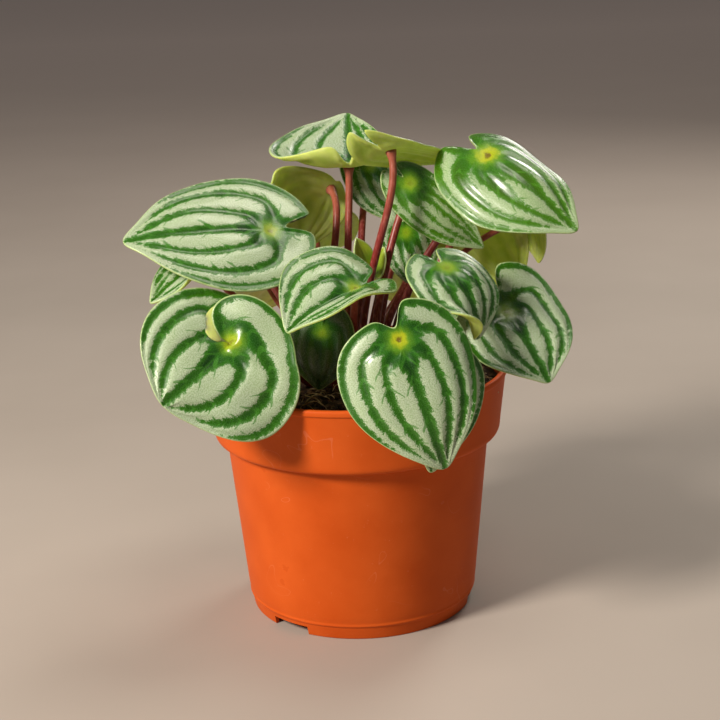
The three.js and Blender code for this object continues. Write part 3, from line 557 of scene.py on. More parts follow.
def leaf_under():
    """Underside of a living leaf: matt skin with no silver, where the veins show as faint paler ribs. It
    gives the eye a soft yellow-green that seems lit from within."""
    material, tree, shader = finish("matt_leaf_underside", Roughness=0.5, IOR=1.4,
        Subsurface_Weight=0.8, Subsurface_Scale=3 * MM, Subsurface_Radius=(0.9, 1.0, 0.25))
    vein = add(tree, ATTRIBUTE, attribute_name="vein").outputs["Fac"]
    flat = add(tree, ATTRIBUTE, attribute_name="flat").outputs["Vector"]
    band = add(tree, RANGE, {"Value": vein, "From Min": -1.2, "From Max": 3.5})
    tint = add(tree, RAMP, {0: band}, UNDER_BANDS)
    clouds = add(tree, NOISE, {"Vector": flat, "Scale": 0.25, "Detail": 4})
    pale = add(tree, RANGE, {"Value": clouds, "From Min": 0.4, "From Max": 0.7, "To Max": 0.4})
    tint = add(tree, MIX, {0: pale, 6: tint, 7: colour(UNDER_PALE)}, data_type="RGBA")
    fine = add(tree, NOISE, {"Vector": flat, "Scale": 1.5, "Detail": 3})
    bump = add(tree, "ShaderNodeBump", {"Strength": 0.3, "Distance": 0.15 * MM, "Height": fine})
    wire(tree, shader, tint, bump)
    return material


def stalk_skin():
    """Fleshy stalk: smooth, juicy skin, maroon with paler flecks drawn out along it, painted near black
    towards the soil as painted shade. It gives the eye a deep red that glows a little where the light comes
    through."""
    material, tree, shader = finish("fleshy_red_stalk", Roughness=0.36, IOR=1.42,
        Subsurface_Weight=0.3, Subsurface_Scale=1.5 * MM, Subsurface_Radius=(1.0, 0.35, 0.2))
    rise = add(tree, ATTRIBUTE, attribute_name="rise").outputs["Fac"]
    tint = add(tree, RAMP, {0: rise}, STALK_REDS_AND_SHADE)
    place = add(tree, "ShaderNodeTexCoord").outputs["Object"]
    drawn_out = add(tree, MAPPING, {"Vector": place, "Scale": (1, 1, 0.3)})
    flecks = add(tree, NOISE, {"Vector": drawn_out, "Scale": 1.1 / MM, "Detail": 2})
    pale = add(tree, RANGE, {"Value": flecks, "From Min": 0.5, "From Max": 0.68, "To Max": 0.35})
    tint = add(tree, MIX, {0: pale, 6: tint, 7: colour(STALK_FLECK)}, data_type="RGBA")
    bump = add(tree, "ShaderNodeBump", {"Strength": 0.2, "Distance": 0.1 * MM, "Height": flecks})
    wire(tree, shader, tint, bump)
    return material


def pot_plastic():
    """Injection-moulded polypropylene, terracotta-coloured: satin, faintly ringed from the mould, with dusty
    scuffs. It gives the eye a broad soft light down one side and a dry, slightly chalky bloom."""
    material, tree, shader = finish("moulded_terracotta_polypropylene", Roughness=0.5, IOR=1.49,
        Specular_IOR_Level=0.12, Subsurface_Weight=0.05, Subsurface_Scale=1.5 * MM)
    place = add(tree, "ShaderNodeTexCoord").outputs["Object"]
    clouds = add(tree, NOISE, {"Vector": place, "Scale": 0.05 / MM, "Detail": 4})
    tint = add(tree, RAMP, {0: clouds}, [(0.3, POT_DARK), (0.72, POT_LIGHT), (0.5, POT_ORANGE)])

    # Dust specks under 1 mm, and a few curved scuffs.
    dust = add(tree, NOISE, {"Vector": place, "Scale": 0.55 / MM, "Detail": 5, "Roughness": 0.75})
    specks = add(tree, RANGE, {"Value": dust, "From Min": 0.64, "From Max": 0.75, "To Max": 0.3})
    tint = add(tree, MIX, {0: specks, 6: tint, 7: colour(POT_DUST)}, data_type="RGBA")
    bent = add(tree, NOISE, {"Vector": place, "Scale": 0.06 / MM, "Detail": 1, "Distortion": 0.8})
    thin = add(tree, MATH, {0: bent, 1: SCUFF_LINE[0], 2: SCUFF_LINE[1]}, operation="COMPARE")
    patch = add(tree, NOISE, {"Vector": place, "Scale": 0.045 / MM, "Detail": 0})
    patch = add(tree, RANGE, {"Value": patch, "From Min": 0.6, "From Max": 0.68, "To Max": 0.1})
    scuff = add(tree, MATH, {0: thin, 1: patch}, operation="MULTIPLY")
    tint = add(tree, MIX, {0: scuff, 6: tint, 7: colour(POT_SCUFF)}, data_type="RGBA")

    rough = add(tree, RANGE, {"Value": clouds, "To Min": 0.46, "To Max": 0.6})
    wave = {"Vector": place, "Scale": 0.2 / MM, "Distortion": 0.4}
    rings = add(tree, "ShaderNodeTexWave", wave, bands_direction="Z")
    height = add(tree, MATH, {0: rings.outputs[1], 1: 0.35, 2: dust}, operation="MULTIPLY_ADD")
    bump = add(tree, "ShaderNodeBump", {"Strength": 0.2, "Distance": 0.08 * MM, "Height": height})
    wire(tree, shader, tint, bump, rough)
    return material


def potting_soil():
    """Peat-based potting soil, damp: crumbly and nearly black-brown. It gives the eye a deep, broken, dull
    ground with a few paler grains."""
    material, tree, shader = finish("damp_peat_soil", Roughness=0.92, IOR=1.35)
    place = add(tree, "ShaderNodeTexCoord").outputs["Object"]
    grains = add(tree, NOISE, {"Vector": place, "Scale": 0.5 / MM, "Detail": 6, "Roughness": 0.7})
    tint = add(tree, RAMP, {0: grains}, SOIL_BROWNS)
    bump = add(tree, "ShaderNodeBump", {"Strength": 0.8, "Distance": 0.6 * MM, "Height": grains})
    wire(tree, shader, tint, bump)
    return material


def root_fibre():
    """Dry root and coir fibres: thin, dull and straw-coloured, darker in patches. They give the eye light
    scribbles on the dark soil."""
    material, tree, shader = finish("dry_straw_fibre", Roughness=0.8, IOR=1.4)
    place = add(tree, "ShaderNodeTexCoord").outputs["Object"]
    patches = add(tree, NOISE, {"Vector": place, "Scale": 0.25 / MM, "Detail": 3})
    tint = add(tree, RAMP, {0: patches}, FIBRE_STRAWS)
    bump = add(tree, "ShaderNodeBump", {"Strength": 0.4, "Distance": 0.1 * MM, "Height": patches})
    wire(tree, shader, tint, bump)
    return material


def floor_board():
    """Plain pale painted board, matt: only a stage for the pot. It gives the eye a quiet light ground, and
    its far part is painted paler as painted light.
    """
    material, tree, shader = finish("pale_matt_board", Roughness=0.7)
    place = add(tree, "ShaderNodeTexCoord").outputs["Object"]
    clouds = add(tree, NOISE, {"Vector": place, "Scale": 6, "Detail": 3})
    tint = add(tree, RAMP, {0: clouds}, FLOOR_TONES)
    # Painted light: it is painted paler from half a metre behind the pot, where the lamps reach it less.
    away = add(tree, "ShaderNodeSeparateXYZ", {0: place})
    behind = add(tree, RANGE, {"Value": away.outputs[1], "From Min": 0.5, "From Max": 2.5})
    tint = add(tree, MIX, {0: behind, 6: tint, 7: colour(FLOOR_FAR_PAINTED_LIGHT)}, data_type="RGBA")
    wire(tree, shader, tint)
    return material


# ---------------------------------------------------------------- leaf blades


def spine_slope(leaf, share):
    """How steeply the spine rises from the chord, at a share of the midrib, in radians."""
    bow = math.radians(leaf.bow)
    behind = bow / 2 + math.radians(leaf.lift) * share * leaf.long / leaf.back
    curl = np.maximum(0, (share - CURL_START) / (1 - CURL_START))
    ahead = bow * (0.5 - share) - math.radians(leaf.curl) * curl * curl
    return np.where(share < 0, behind, ahead)


def spine_point(leaf, share):
    """How far along the chord and how high over it the spine is, at a share of the midrib."""
    along = np.zeros_like(share)
    height = np.zeros_like(share)
    for number in range(SPINE_STEPS):
        slope = spine_slope(leaf, share * (number + 0.5) / SPINE_STEPS)
        along = along + np.cos(slope) * share / SPINE_STEPS
        height = height + np.sin(slope) * share / SPINE_STEPS
    return along, height


def laid_out(row):
    """A leaf with what follows from its row: the midrib's length and the directions of its frame."""
    leaf = SimpleNamespace(**{**USUAL_LEAF, **row}, long=1.0, back=max(row["lobe"]))
    leaf.origin = np.array(leaf.stalk, float)
    chord = np.array(leaf.tip, float) - leaf.origin
    along, height = spine_point(leaf, np.array(1.0))
    leaf.long = np.linalg.norm(chord) / math.hypot(along, height)
    leaf.tilt = math.atan2(height, along)
    leaf.grown = min(1, leaf.long / FULL_LENGTH)
    leaf.thickness = mix(YOUNG_THICKNESS, BLADE_THICKNESS, leaf.grown)
    azimuth, elevation = (math.radians(angle) for angle in leaf.faces)
    leaf.ahead = unit(chord)
    level = math.cos(elevation)
    up = np.array([level * math.cos(azimuth), level * math.sin(azimuth), math.sin(elevation)])
    leaf.up = unit(up - up.dot(leaf.ahead) * leaf.ahead)
    leaf.left = np.cross(leaf.up, leaf.ahead)
    return leaf


def by_side(pair, across):
    """The left or the right value of a pair, for each point."""
    return np.where(across > 0, pair[0], pair[1])


def flat_edge(leaf, share, across):
    """The edge of the blade laid flat, from the notch at share 0 to the tip at share 1."""
    angle = math.pi * (1 - share)
    half = by_side(leaf.half, across)
    lobe = by_side(leaf.lobe, across)
    centre = WIDEST * leaf.long
    drip = DRIP_LENGTH * leaf.long
    reach = np.where(angle < math.pi / 2, leaf.long - centre - drip, centre + lobe)
    cosine = np.cos(angle)
    pinch = np.exp(-(((math.pi - angle) / NOTCH_WIDTH) ** 2))
    point = np.exp(-((angle / DRIP_WIDTH) ** 2))
    x = centre + reach * cosine + (lobe - leaf.notch) * pinch + drip * point
    narrowing = np.where(cosine > 0, leaf.taper, leaf.full) * cosine * np.abs(cosine)
    y = np.sign(across) * half * np.sin(angle) * (1 - narrowing)
    return x, y


def reach_of(across, share):
    """How far out from the midrib a line of the blade lies, as a share of the half width there."""
    out = np.abs(across)
    return mix(smooth(LOBE_START, 1, out), out, smooth(0, LINES_SPREAD, share))


def flat_point(leaf, across, share):
    """Where a point of the blade lies while it is flat, with its lobes turned round the stalk."""
    edge_x, edge_y = flat_edge(leaf, share, across)
    reach = reach_of(across, share)
    x = mix(leaf.long * share, edge_x, reach)
    y = edge_y * reach
    fades = np.where(np.sign(across) == np.sign(leaf.swirl), *SWIRL_FADE)
    turn = math.radians(leaf.swirl) * smooth(0, 1, np.abs(across)) * (1 - smooth(0, fades, share))
    return x * np.cos(turn) - y * np.sin(turn), x * np.sin(turn) + y * np.cos(turn)


def bent_point(leaf, across, share):
    """Where a point of the blade lies once it is bent, in millimetres."""
    x, y = flat_point(leaf, across, share)
    left = y >= 0
    half = np.where(left, *leaf.half)
    to_middle = smooth(-leaf.back, MIDDLE[0] * leaf.long, x)
    to_tip = smooth(MIDDLE[1] * leaf.long, leaf.long, x)
    lobes, sides, toes = (np.where(left, *pair) for pair in (leaf.lobes, leaf.sides, leaf.toes))
    bend = np.radians(mix(mix(lobes, sides, to_middle), toes, to_tip))
    bend = np.where(np.abs(bend) < LEAST_BEND, LEAST_BEND, bend)
    fold = math.radians(leaf.fold)
    arc = fold + bend * np.abs(y) / half
    sideways = np.sign(y) * half * (np.sin(arc) - math.sin(fold)) / bend
    dimple = DIMPLE_DEPTH * leaf.grown * np.exp(-(x * x + y * y) / DIMPLE_RADIUS**2)
    leading = np.sign(across) == np.sign(leaf.swirl)
    standing = smooth(0, ROLL_RISE, share) * (1 - smooth(ROLL_RISE, ROLL_END, share))
    rolled = np.where(leading, leaf.roll * smooth(0, 1, np.abs(across)) * standing, 0)
    lifted = half * (math.cos(fold) - np.cos(arc)) / bend - dimple + rolled
    along, height = spine_point(leaf, x / leaf.long)
    slope = spine_slope(leaf, x / leaf.long)
    forward = along * leaf.long - lifted * np.sin(slope)
    upward = height * leaf.long + lifted * np.cos(slope)
    chordwise = forward * math.cos(leaf.tilt) + upward * math.sin(leaf.tilt)
    raised = -forward * math.sin(leaf.tilt) + upward * math.cos(leaf.tilt)
    place = leaf.origin + chordwise[..., None] * leaf.ahead
    return place + sideways[..., None] * leaf.left + raised[..., None] * leaf.up


def blade_grid(leaf):
    """The lines of a blade's grid: across from edge to edge, closer at the margin, and share from notch to
    tip."""
    columns, rows = BLADE_GRID if leaf.grown > HALF_GROWN else YOUNG_GRID
    last, outer = MARGIN_LINES
    lines = np.concatenate([[-1, -outer], np.linspace(-last, last, columns), [outer, 1]])
    across, share = np.meshgrid(lines, np.linspace(0, 1, rows), indexing="ij")
    return across, share ** mix(1, ROW_CROWDING, smooth(LOBE_START, 1, np.abs(across)))


def vein_map(leaf, across, share, seed):
    """Where each point lies among the veins, in mm: how far from the edge of the nearest vein's dark band,
    less than 0 inside it, how far from that vein's middle, how far along it, and which one it is."""
    flat = np.stack(flat_point(leaf, across, share), -1)
    size = min(WIDEST_VEINS, sum(leaf.half) / FULL_WIDTH)
    along = np.linspace(0, 1, VEIN_STEPS)
    nearest = np.full(across.shape, FAR_AWAY)
    centre, run, which = np.zeros(across.shape), np.zeros(across.shape), np.zeros(across.shape)
    for number, (at, half_width, end) in enumerate(zip(VEINS, VEIN_HALF_WIDTHS, VEIN_ENDS)):
        place = mix(min(at, LOBE_START), at, smooth(0, VEIN_START, along))
        place = place + VEIN_WANDER * np.sin(WANDER_WAVES * along + WANDER_SHIFT * number + seed) * (at > 0)
        for side in (1, -1):
            line = np.stack(flat_point(leaf, side * np.maximum(place, TINY), along), -1)
            lengths = np.concatenate([[0], np.cumsum(np.linalg.norm(np.diff(line, axis=0), axis=1))])
            here = (across >= 0) if side > 0 else (across < 0)
            away = np.linalg.norm(flat[here][:, None] - line[None], axis=2)
            step = away.argmin(axis=1)
            away = away.min(axis=1)
            ending = 1 - smooth(end - VEIN_FADE, end, along[step])
            from_edge = away - size * half_width * mix(*VEIN_TAPER, along[step]) * ending + 1 - ending
            closer = from_edge < nearest[here]
            for target, value in ((nearest, from_edge), (centre, away), (run, lengths[step])):
                target[here] = np.where(closer, value, target[here])
            which[here] = np.where(closer, 2 * number + (side < 0), which[here])
    return nearest, centre, run, which


def blade(name, leaf, upper, under, seed):
    """A blade as one closed body: quilted between its veins, and rounded off at the margin. Its points carry
    their distances in mm to the veins, the margin and the stalk, and their place on the flat blade."""
    across, share = blade_grid(leaf)
    middle = bent_point(leaf, across, share)
    edge_x, edge_y = flat_edge(leaf, share, across)
    width = np.hypot(edge_x - leaf.long * share, edge_y)
    reach = reach_of(across, share)
    margin = (1 - reach) * width
    vein, centre, run, which = vein_map(leaf, across, share, seed)
    flat_x, flat_y = flat_point(leaf, across, share)
    spread = GREEN_HUBS.get(name, 1) * min(1, max(SMALLEST_HUB, sum(leaf.half) / FULL_WIDTH))
    hub = np.hypot(flat_x, flat_y) / math.sqrt(spread)
    ahead = np.hypot(np.where(flat_x > 0, HUB_AHEAD, 1) * flat_x, flat_y) / spread
    vein = vein - HUB_SPREAD[0] * (1 - smooth(*HUB_SPREAD[1:], ahead))
    slanted = run - FEATHER_SLANT * centre + VEIN_PLACE * which
    feather = np.stack([slanted, centre, which + LEAF_FEATHER_PLACE * seed], -1)

    points = middle.reshape(-1, 3)
    _, first, merged = np.unique(np.round(points, 4), axis=0, return_index=True, return_inverse=True)
    merged = merged.reshape(across.shape)
    columns, rows = across.shape
    quads = np.stack([merged[:-1, :-1], merged[:-1, 1:], merged[1:, 1:], merged[1:, :-1]], -1).reshape(-1, 4)
    sheet = [tuple(dict.fromkeys(quad)) for quad in quads.tolist()]
    sheet = [face for face in sheet if len(face) > 2]
    points = points[first]

    normals = np.zeros_like(points)
    for a, b, c in [(0, 1, 2), (0, 2, 3)]:
        start = points[quads[:, a]]
        normal = np.cross(points[quads[:, b]] - start, points[quads[:, c]] - start)
        for corner in (a, b, c):
            np.add.at(normals, quads[:, corner], normal)
    normals /= np.maximum(np.linalg.norm(normals, axis=1, keepdims=True), LEAST_LENGTH)
    if normals[merged[columns // 2, rows // 2]].dot(leaf.up) < 0:
        normals = -normals
        sheet = [face[::-1] for face in sheet]

    values = {"vein": vein, "margin": margin, "hub": hub + YOUNG_HUB * (1 - leaf.grown)}
    values = {key: value.ravel()[first] for key, value in values.items()}
    feather = feather.reshape(-1, 3)[first]
    flat = np.stack([flat_x + LEAF_FLAT_PLACE * seed, flat_y, 0 * flat_x], -1).reshape(-1, 3)[first]
    deep = np.exp(-((feather[:, 1] / QUILT_WIDTH) ** 2))
    quilted = smooth(*QUILT_FROM_MARGIN, values["margin"]) * smooth(*QUILT_FROM_STALK, values["hub"])
    quilted = quilted * leaf.grown
    wave = np.sin(RIPPLE_WAVES[0] * flat[:, 0]) * np.sin(RIPPLE_WAVES[1] * flat[:, 1] + RIPPLE_SHIFT * seed)
    wave = wave * smooth(*RIPPLE_FROM_STALK, values["hub"])
    points = points + normals * (-QUILT_DEPTH * deep * quilted + RIPPLE * wave * leaf.grown)[:, None]
    rounding = leaf.thickness / 2
    inside = np.minimum(values["margin"], rounding)
    half = np.sqrt(np.maximum(0, 2 * rounding * inside - inside**2))

    count = len(points)
    on_margin = values["margin"] < TINY
    lower = np.where(on_margin, np.arange(count), np.arange(count) + count)
    both = np.concatenate([points + normals * half[:, None], points - normals * half[:, None]])
    faces = sheet + [tuple(int(lower[corner]) for corner in face[::-1]) for face in sheet]
    sides = [0] * len(sheet) + [1] * len(sheet)
    used = np.concatenate([np.ones(count, bool), ~on_margin])
    renumber = np.cumsum(used) - 1
    faces = [tuple(int(renumber[corner]) for corner in face) for face in faces]
    thing = piece(f"leaf_{name}", both[used], faces, [upper, under], [f"blade_{name}"], sides)
    values["eye"] = np.full(count, EYES.get(name, PLAIN_EYE))
    for key, value in values.items():
        give(thing.data, key, np.concatenate([value, value])[used])
    for key, value in [("flat", flat), ("feather", feather)]:
        give(thing.data, key, np.concatenate([value, value])[used], "FLOAT_VECTOR")


# ---------------------------------------------------------------- leaf stalks


def stalk_line(leaf, steps_along):
    """The stalk's line from its foot in the soil to the underside of its blade, as points."""
    slope = float(spine_slope(leaf, np.array(0.0))) - leaf.tilt
    normal = leaf.up * math.cos(slope) - leaf.ahead * math.sin(slope)
    top = bent_point(leaf, np.array(0.0), np.array(0.0)) - normal * leaf.thickness / 4
    foot = np.array([*leaf.foot, STALK_FOOT_HEIGHT], float)
    span = np.linalg.norm(top - foot)
    rising = foot + np.array([0, 0, span * leaf.reach])
    arriving = top - normal * span * STALK_ARRIVAL
    t = np.linspace(0, 1, steps_along)[:, None]
    return (1 - t) ** 3 * foot + 3 * (1 - t) ** 2 * t * rising + 3 * (1 - t) * t**2 * arriving + t**3 * top


def tube(line, radii, sides):
    """Points and faces of a closed tube along a line, whose section never twists."""
    tangents = np.gradient(line, axis=0)
    tangents /= np.linalg.norm(tangents, axis=1, keepdims=True)
    across = unit(np.cross(tangents[0], NO_STALK_WAY))
    points = []
    for centre, tangent, radius in zip(line, tangents, radii):
        across = unit(across - across.dot(tangent) * tangent)
        other = np.cross(tangent, across)
        for number in range(sides):
            angle = 2 * math.pi * number / sides
            points.append(centre + radius * (math.cos(angle) * across + math.sin(angle) * other))
    faces = [tuple(range(sides))[::-1]]
    for ring in range(len(line) - 1):
        for number in range(sides):
            start, end = ring * sides + number, ring * sides + (number + 1) % sides
            faces.append((start, end, end + sides, start + sides))
    faces.append(tuple(range(len(points) - sides, len(points))))
    return np.array(points), faces


def stalk(name, leaf, material):
    """A stalk that is stouter at the soil, and spreads a little where it joins the blade."""
    line = stalk_line(leaf, STALK_STEPS)
    share = np.linspace(0, 1, STALK_STEPS)
    neck = STALK_NECK[0] * np.exp(-(((1 - share) / STALK_NECK[1]) ** 2))
    spread = neck + STALK_BASE[0] * np.exp(-((share / STALK_BASE[1]) ** 2))
    radii = STALK_RADIUS * mix(YOUNG_STALK, 1, leaf.grown) * (mix(*STALK_TAPER, share) + spread)
    points, faces = tube(line, radii, STALK_SIDES)
    thing = piece(f"leafstalk_{name}", points, faces, [material], [f"stalk_{name}"])
    give(thing.data, "rise", np.repeat(share, STALK_SIDES))


# ---------------------------------------------------------------- the pot


def body_radius(height):
    """The outer radius of the pot's tapered body."""
    return mix(SEAM_RADIUS, BODY_TOP_RADIUS, (height - SEAM_HEIGHT) / (COLLAR_BOTTOM - SEAM_HEIGHT))


def rounded(profile):
    """A profile of (radius, height, rounding) corners as points, each corner rounded by its own size."""
    points = []
    for number, (radius, height, rounding) in enumerate(profile):
        corner = np.array([radius, height], float)
        if rounding == 0 or number in (0, len(profile) - 1):
            points.append(corner)
            continue
        ends = []
        for other in (profile[number - 1], profile[number + 1]):
            way = np.array(other[:2], float) - corner
            length = np.linalg.norm(way)
            ends.append(corner + way / length * min(rounding, LONGEST_ROUNDING * length))
        for t in np.linspace(0, 1, ARC_STEPS + 1):
            points.append((1 - t) ** 2 * ends[0] + 2 * (1 - t) * t * corner + t**2 * ends[1])
    return points


def turned(profile, sides):
    """Points and faces of a body of revolution, from a profile that starts and ends on the axis."""
    angles = np.linspace(0, 2 * math.pi, sides, endpoint=False)
    points = [np.array([0, 0, profile[0][1]])]
    for radius, height in profile[1:-1]:
        points += [np.array([radius * math.cos(a), radius * math.sin(a), height]) for a in angles]
    points.append(np.array([0, 0, profile[-1][1]]))
    last = len(points) - 1
    faces = []
    for number in range(sides):
        following = (number + 1) % sides
        faces.append((0, 1 + following, 1 + number))
        for ring in range(len(profile) - 3):
            start, end = 1 + ring * sides + number, 1 + ring * sides + following
            faces.append((start, end, end + sides, start + sides))
        faces.append((last - sides + number, last - sides + following, last))
    return np.array(points), faces


def drill(number):
    """The tool that makes one drain hole."""
    angle = 2 * math.pi * number / DRAIN_HOLES
    low, high = DRILL_ENDS
    points, faces = turned([(0, low), (DRAIN_RADIUS, low), (DRAIN_RADIUS, high), (0, high)], DRILL_SIDES)
    centre = [DRAIN_CIRCLE * math.cos(angle), DRAIN_CIRCLE * math.sin(angle), FLOOR_HEIGHT]
    return shape(f"drill_{number}", points + np.array(centre), faces)


def notcher(number):
    """The tool that cuts one gap in the skirt: a block across the wall."""
    angle = math.radians(FIRST_GAP_ANGLE + 360 * number / SKIRT_GAPS)
    out = np.array([math.cos(angle), math.sin(angle), 0])
    aside = np.array([-math.sin(angle), math.cos(angle), 0])
    corners = []
    for far, wide, high in [(i, j, k) for i in (-1, 1) for j in (-1, 1) for k in (-1, 1)]:
        place = out * (FOOT_RADIUS + far * SKIRT_CUT_DEPTH) + aside * wide * SKIRT_GAP_WIDTH / 2
        corners.append(place + np.array([0, 0, high * SKIRT_GAP_HEIGHT]))
    faces = [(0, 1, 3, 2), (4, 6, 7, 5), (0, 4, 5, 1), (2, 3, 7, 6), (0, 2, 6, 4), (1, 5, 7, 3)]
    return shape(f"slot_{number}", np.array(corners), faces)


def plastic_pot(material):
    """The moulded pot: body, collar with proud lip, seam bead, skirt with gaps, floor with drain holes."""
    floor_top = FLOOR_HEIGHT + WALL
    lip_under = POT_HEIGHT - LIP_HEIGHT
    collar_top = RIM_RADIUS - LIP_PROUD
    inward, upward = FLOOR_CORNER
    # The radius, height and rounding of each corner, from under the floor round the outside to over it.
    profile = [
        (0, FLOOR_HEIGHT, 0),
        (FOOT_RADIUS - WALL, FLOOR_HEIGHT, 0.4),
        (FOOT_RADIUS - WALL, 0, 0.3),
        (FOOT_RADIUS, 0, 0.5),
        (SEAM_RADIUS - 0.3, SEAM_HEIGHT - 0.9, 0.3),
        (SEAM_RADIUS + 0.35, SEAM_HEIGHT - 0.2, 0.5),
        (body_radius(SEAM_HEIGHT + 0.8), SEAM_HEIGHT + 0.8, 0.4),
        (body_radius(SEAM_HEIGHT + 3) + 0.2, SEAM_HEIGHT + 3, 3),
        (BODY_TOP_RADIUS, COLLAR_BOTTOM - 0.2, 0.3),
        (BODY_TOP_RADIUS + 0.5, COLLAR_BOTTOM, 0.3),
        (COLLAR_RADIUS - 0.2, COLLAR_BOTTOM + 0.1, 2.6),
        (COLLAR_RADIUS + 0.2, COLLAR_BOTTOM + 5, 2),
        (collar_top, lip_under - 0.5, 0.3),
        (RIM_RADIUS, lip_under, 0.4),
        (RIM_RADIUS, POT_HEIGHT, 1.0),
        (RIM_RADIUS - RIM_ROUNDING - WALL, POT_HEIGHT, RIM_ROUNDING),
        (COLLAR_RADIUS - WALL, COLLAR_BOTTOM + COLLAR_STEP, 2),
        (BODY_TOP_RADIUS - WALL, COLLAR_BOTTOM - 1, 2),
        (body_radius(floor_top + upward) - WALL, floor_top + upward, 1.5),
        (body_radius(floor_top) - WALL - inward, floor_top, 1.2),
        (0, floor_top, 0),
    ]
    points, faces = turned(rounded(profile), POT_SIDES)
    thing = piece("plastic_pot", points, faces, [material], ["pot"])
    tools = [drill(number) for number in range(DRAIN_HOLES)]
    tools += [notcher(number) for number in range(SKIRT_GAPS)]
    group = bpy.data.collections.new("pot_cutters")
    for tool in tools:
        group.objects.link(tool)
    cut = thing.modifiers.new("cuts", "BOOLEAN")
    cut.operand_type = "COLLECTION"
    cut.collection = group
    cut.operation = "DIFFERENCE"
    cut.solver = "MANIFOLD"
    applied(thing)
    for tool in tools:
        bpy.data.objects.remove(tool)
    bpy.data.collections.remove(group)
    thing.data.set_sharp_from_angle(angle=math.radians(SHARP_ANGLE))


def applied(thing):
    """Turns a thing and its modifiers into a plain mesh."""
    evaluated = thing.evaluated_get(bpy.context.evaluated_depsgraph_get())
    mesh = bpy.data.meshes.new_from_object(evaluated)
    thing.modifiers.clear()
    thing.data = mesh


# ---------------------------------------------------------------- soil


def soil_radius():
    """The radius of the soil's edge, just inside the collar's tapered wall."""
    share = (SOIL_EDGE_HEIGHT - COLLAR_BOTTOM - COLLAR_STEP) / (POT_HEIGHT - COLLAR_BOTTOM - COLLAR_STEP)
    return mix(COLLAR_RADIUS, RIM_RADIUS - RIM_ROUNDING, share) - WALL - SOIL_EDGE_GAP


def soil_height(x, y):
    """The soil's surface: mounded round the plant, with hollows of 1 to 2 mm that fade out at the pot."""
    radius = np.hypot(x, y)
    mound = SOIL_EDGE_HEIGHT + SOIL_MOUND * (1 - (radius / soil_radius()) ** 3)
    long_x, long_y, short_x, short_y = HOLLOW_WAVES
    hollows = HOLLOW_DEPTHS[0] * np.sin(long_x * x + 1) * np.sin(long_y * y + 2)
    hollows = hollows + HOLLOW_DEPTHS[1] * np.sin(short_x * x + short_y * y)
    return mound + hollows * smooth(soil_radius(), soil_radius() - HOLLOW_FADE, radius)


def soil_body(material):
    """The soil as one closed body, from just above the pot's floor to its broken surface."""
    floor = FLOOR_HEIGHT + WALL + SOIL_CLEARANCE
    gap = WALL + SOIL_WALL_GAP
    inward, upward = FLOOR_CORNER
    profile = [
        (0, floor),
        (body_radius(floor) - gap - inward, floor),
        (body_radius(floor + upward) - gap, floor + upward),
        (BODY_TOP_RADIUS - gap, COLLAR_BOTTOM - 1 + SOIL_CLEARANCE),
        (COLLAR_RADIUS - gap, COLLAR_BOTTOM + COLLAR_STEP + SOIL_CLEARANCE),
    ]
    shares = np.linspace(1, INNERMOST_RING, SOIL_RINGS)
    profile += [(soil_radius() * share, SOIL_EDGE_HEIGHT) for share in shares]
    points, faces = turned([*profile, (0, SOIL_EDGE_HEIGHT)], SOIL_SIDES)
    top = points[:, 2] >= SOIL_EDGE_HEIGHT - TINY
    points[top, 2] = soil_height(points[top, 0], points[top, 1])
    draw = np.random.default_rng(SOIL_SEED)
    points[top, 2] += draw.uniform(-SOIL_GRAIN, SOIL_GRAIN, top.sum())
    piece("soil_body", points, faces, [material], ["soil"])


def scatter_tree(name, make_one, material, density, scales, seed):
    """A tree that strews copies of one small thing over a surface, turned and sized at random."""
    tree = bpy.data.node_groups.new(name, "GeometryNodeTree")
    tree.interface.new_socket("Geometry", in_out="INPUT", socket_type="NodeSocketGeometry")
    tree.interface.new_socket("Geometry", in_out="OUTPUT", socket_type="NodeSocketGeometry")
    for label, value in [("Density", density), ("Smallest", scales[0]), ("Largest", scales[1])]:
        socket = tree.interface.new_socket(label, in_out="INPUT", socket_type="NodeSocketFloat")
        socket.default_value = value
    given = add(tree, "NodeGroupInput").outputs
    inputs = {"Mesh": given["Geometry"], "Density": given["Density"], "Seed": seed}
    spread = add(tree, "GeometryNodeDistributePointsOnFaces", inputs)
    turn = {"Min": (0, 0, 0), "Max": (TILT, TILT, 2 * math.pi), "Seed": seed + 1}
    rotation = add(tree, "FunctionNodeRandomValue", turn, data_type="FLOAT_VECTOR").outputs[0]
    sizes = {2: given["Smallest"], 3: given["Largest"], "Seed": seed + 2}
    scale = add(tree, "FunctionNodeRandomValue", sizes, data_type="FLOAT").outputs[1]
    inputs = {"Points": spread.outputs["Points"], "Instance": make_one(tree)}
    inputs.update({"Rotation": rotation, "Scale": scale})
    copies = add(tree, "GeometryNodeInstanceOnPoints", inputs).outputs[0]
    real = add(tree, "GeometryNodeRealizeInstances", {0: copies}).outputs[0]
    place = add(tree, "GeometryNodeInputPosition").outputs[0]
    rough = {"Vector": place, "Scale": ROUGHEN_SCALE, "Detail": 2}
    noise = add(tree, NOISE, rough).outputs[1]
    centred = add(tree, VECTOR_MATH, {0: noise, 1: (0.5, 0.5, 0.5)}, operation="SUBTRACT").outputs[0]
    shift = add(tree, VECTOR_MATH, {0: centred, "Scale": ROUGHEN}, operation="SCALE").outputs[0]
    broken = add(tree, "GeometryNodeSetPosition", {"Geometry": real, "Offset": shift}).outputs[0]
    named = add(tree, "GeometryNodeSetMaterial", {"Geometry": broken, "Material": material}).outputs[0]
    tree.links.new(named, add(tree, "NodeGroupOutput").inputs[0])
    return tree


def crumb(tree):
    """A coarse ball, which the roughening breaks into a crumb."""
    return add(tree, "GeometryNodeMeshUVSphere", {"Segments": 8, "Rings": 6, "Radius": 1 * MM}).outputs[0]


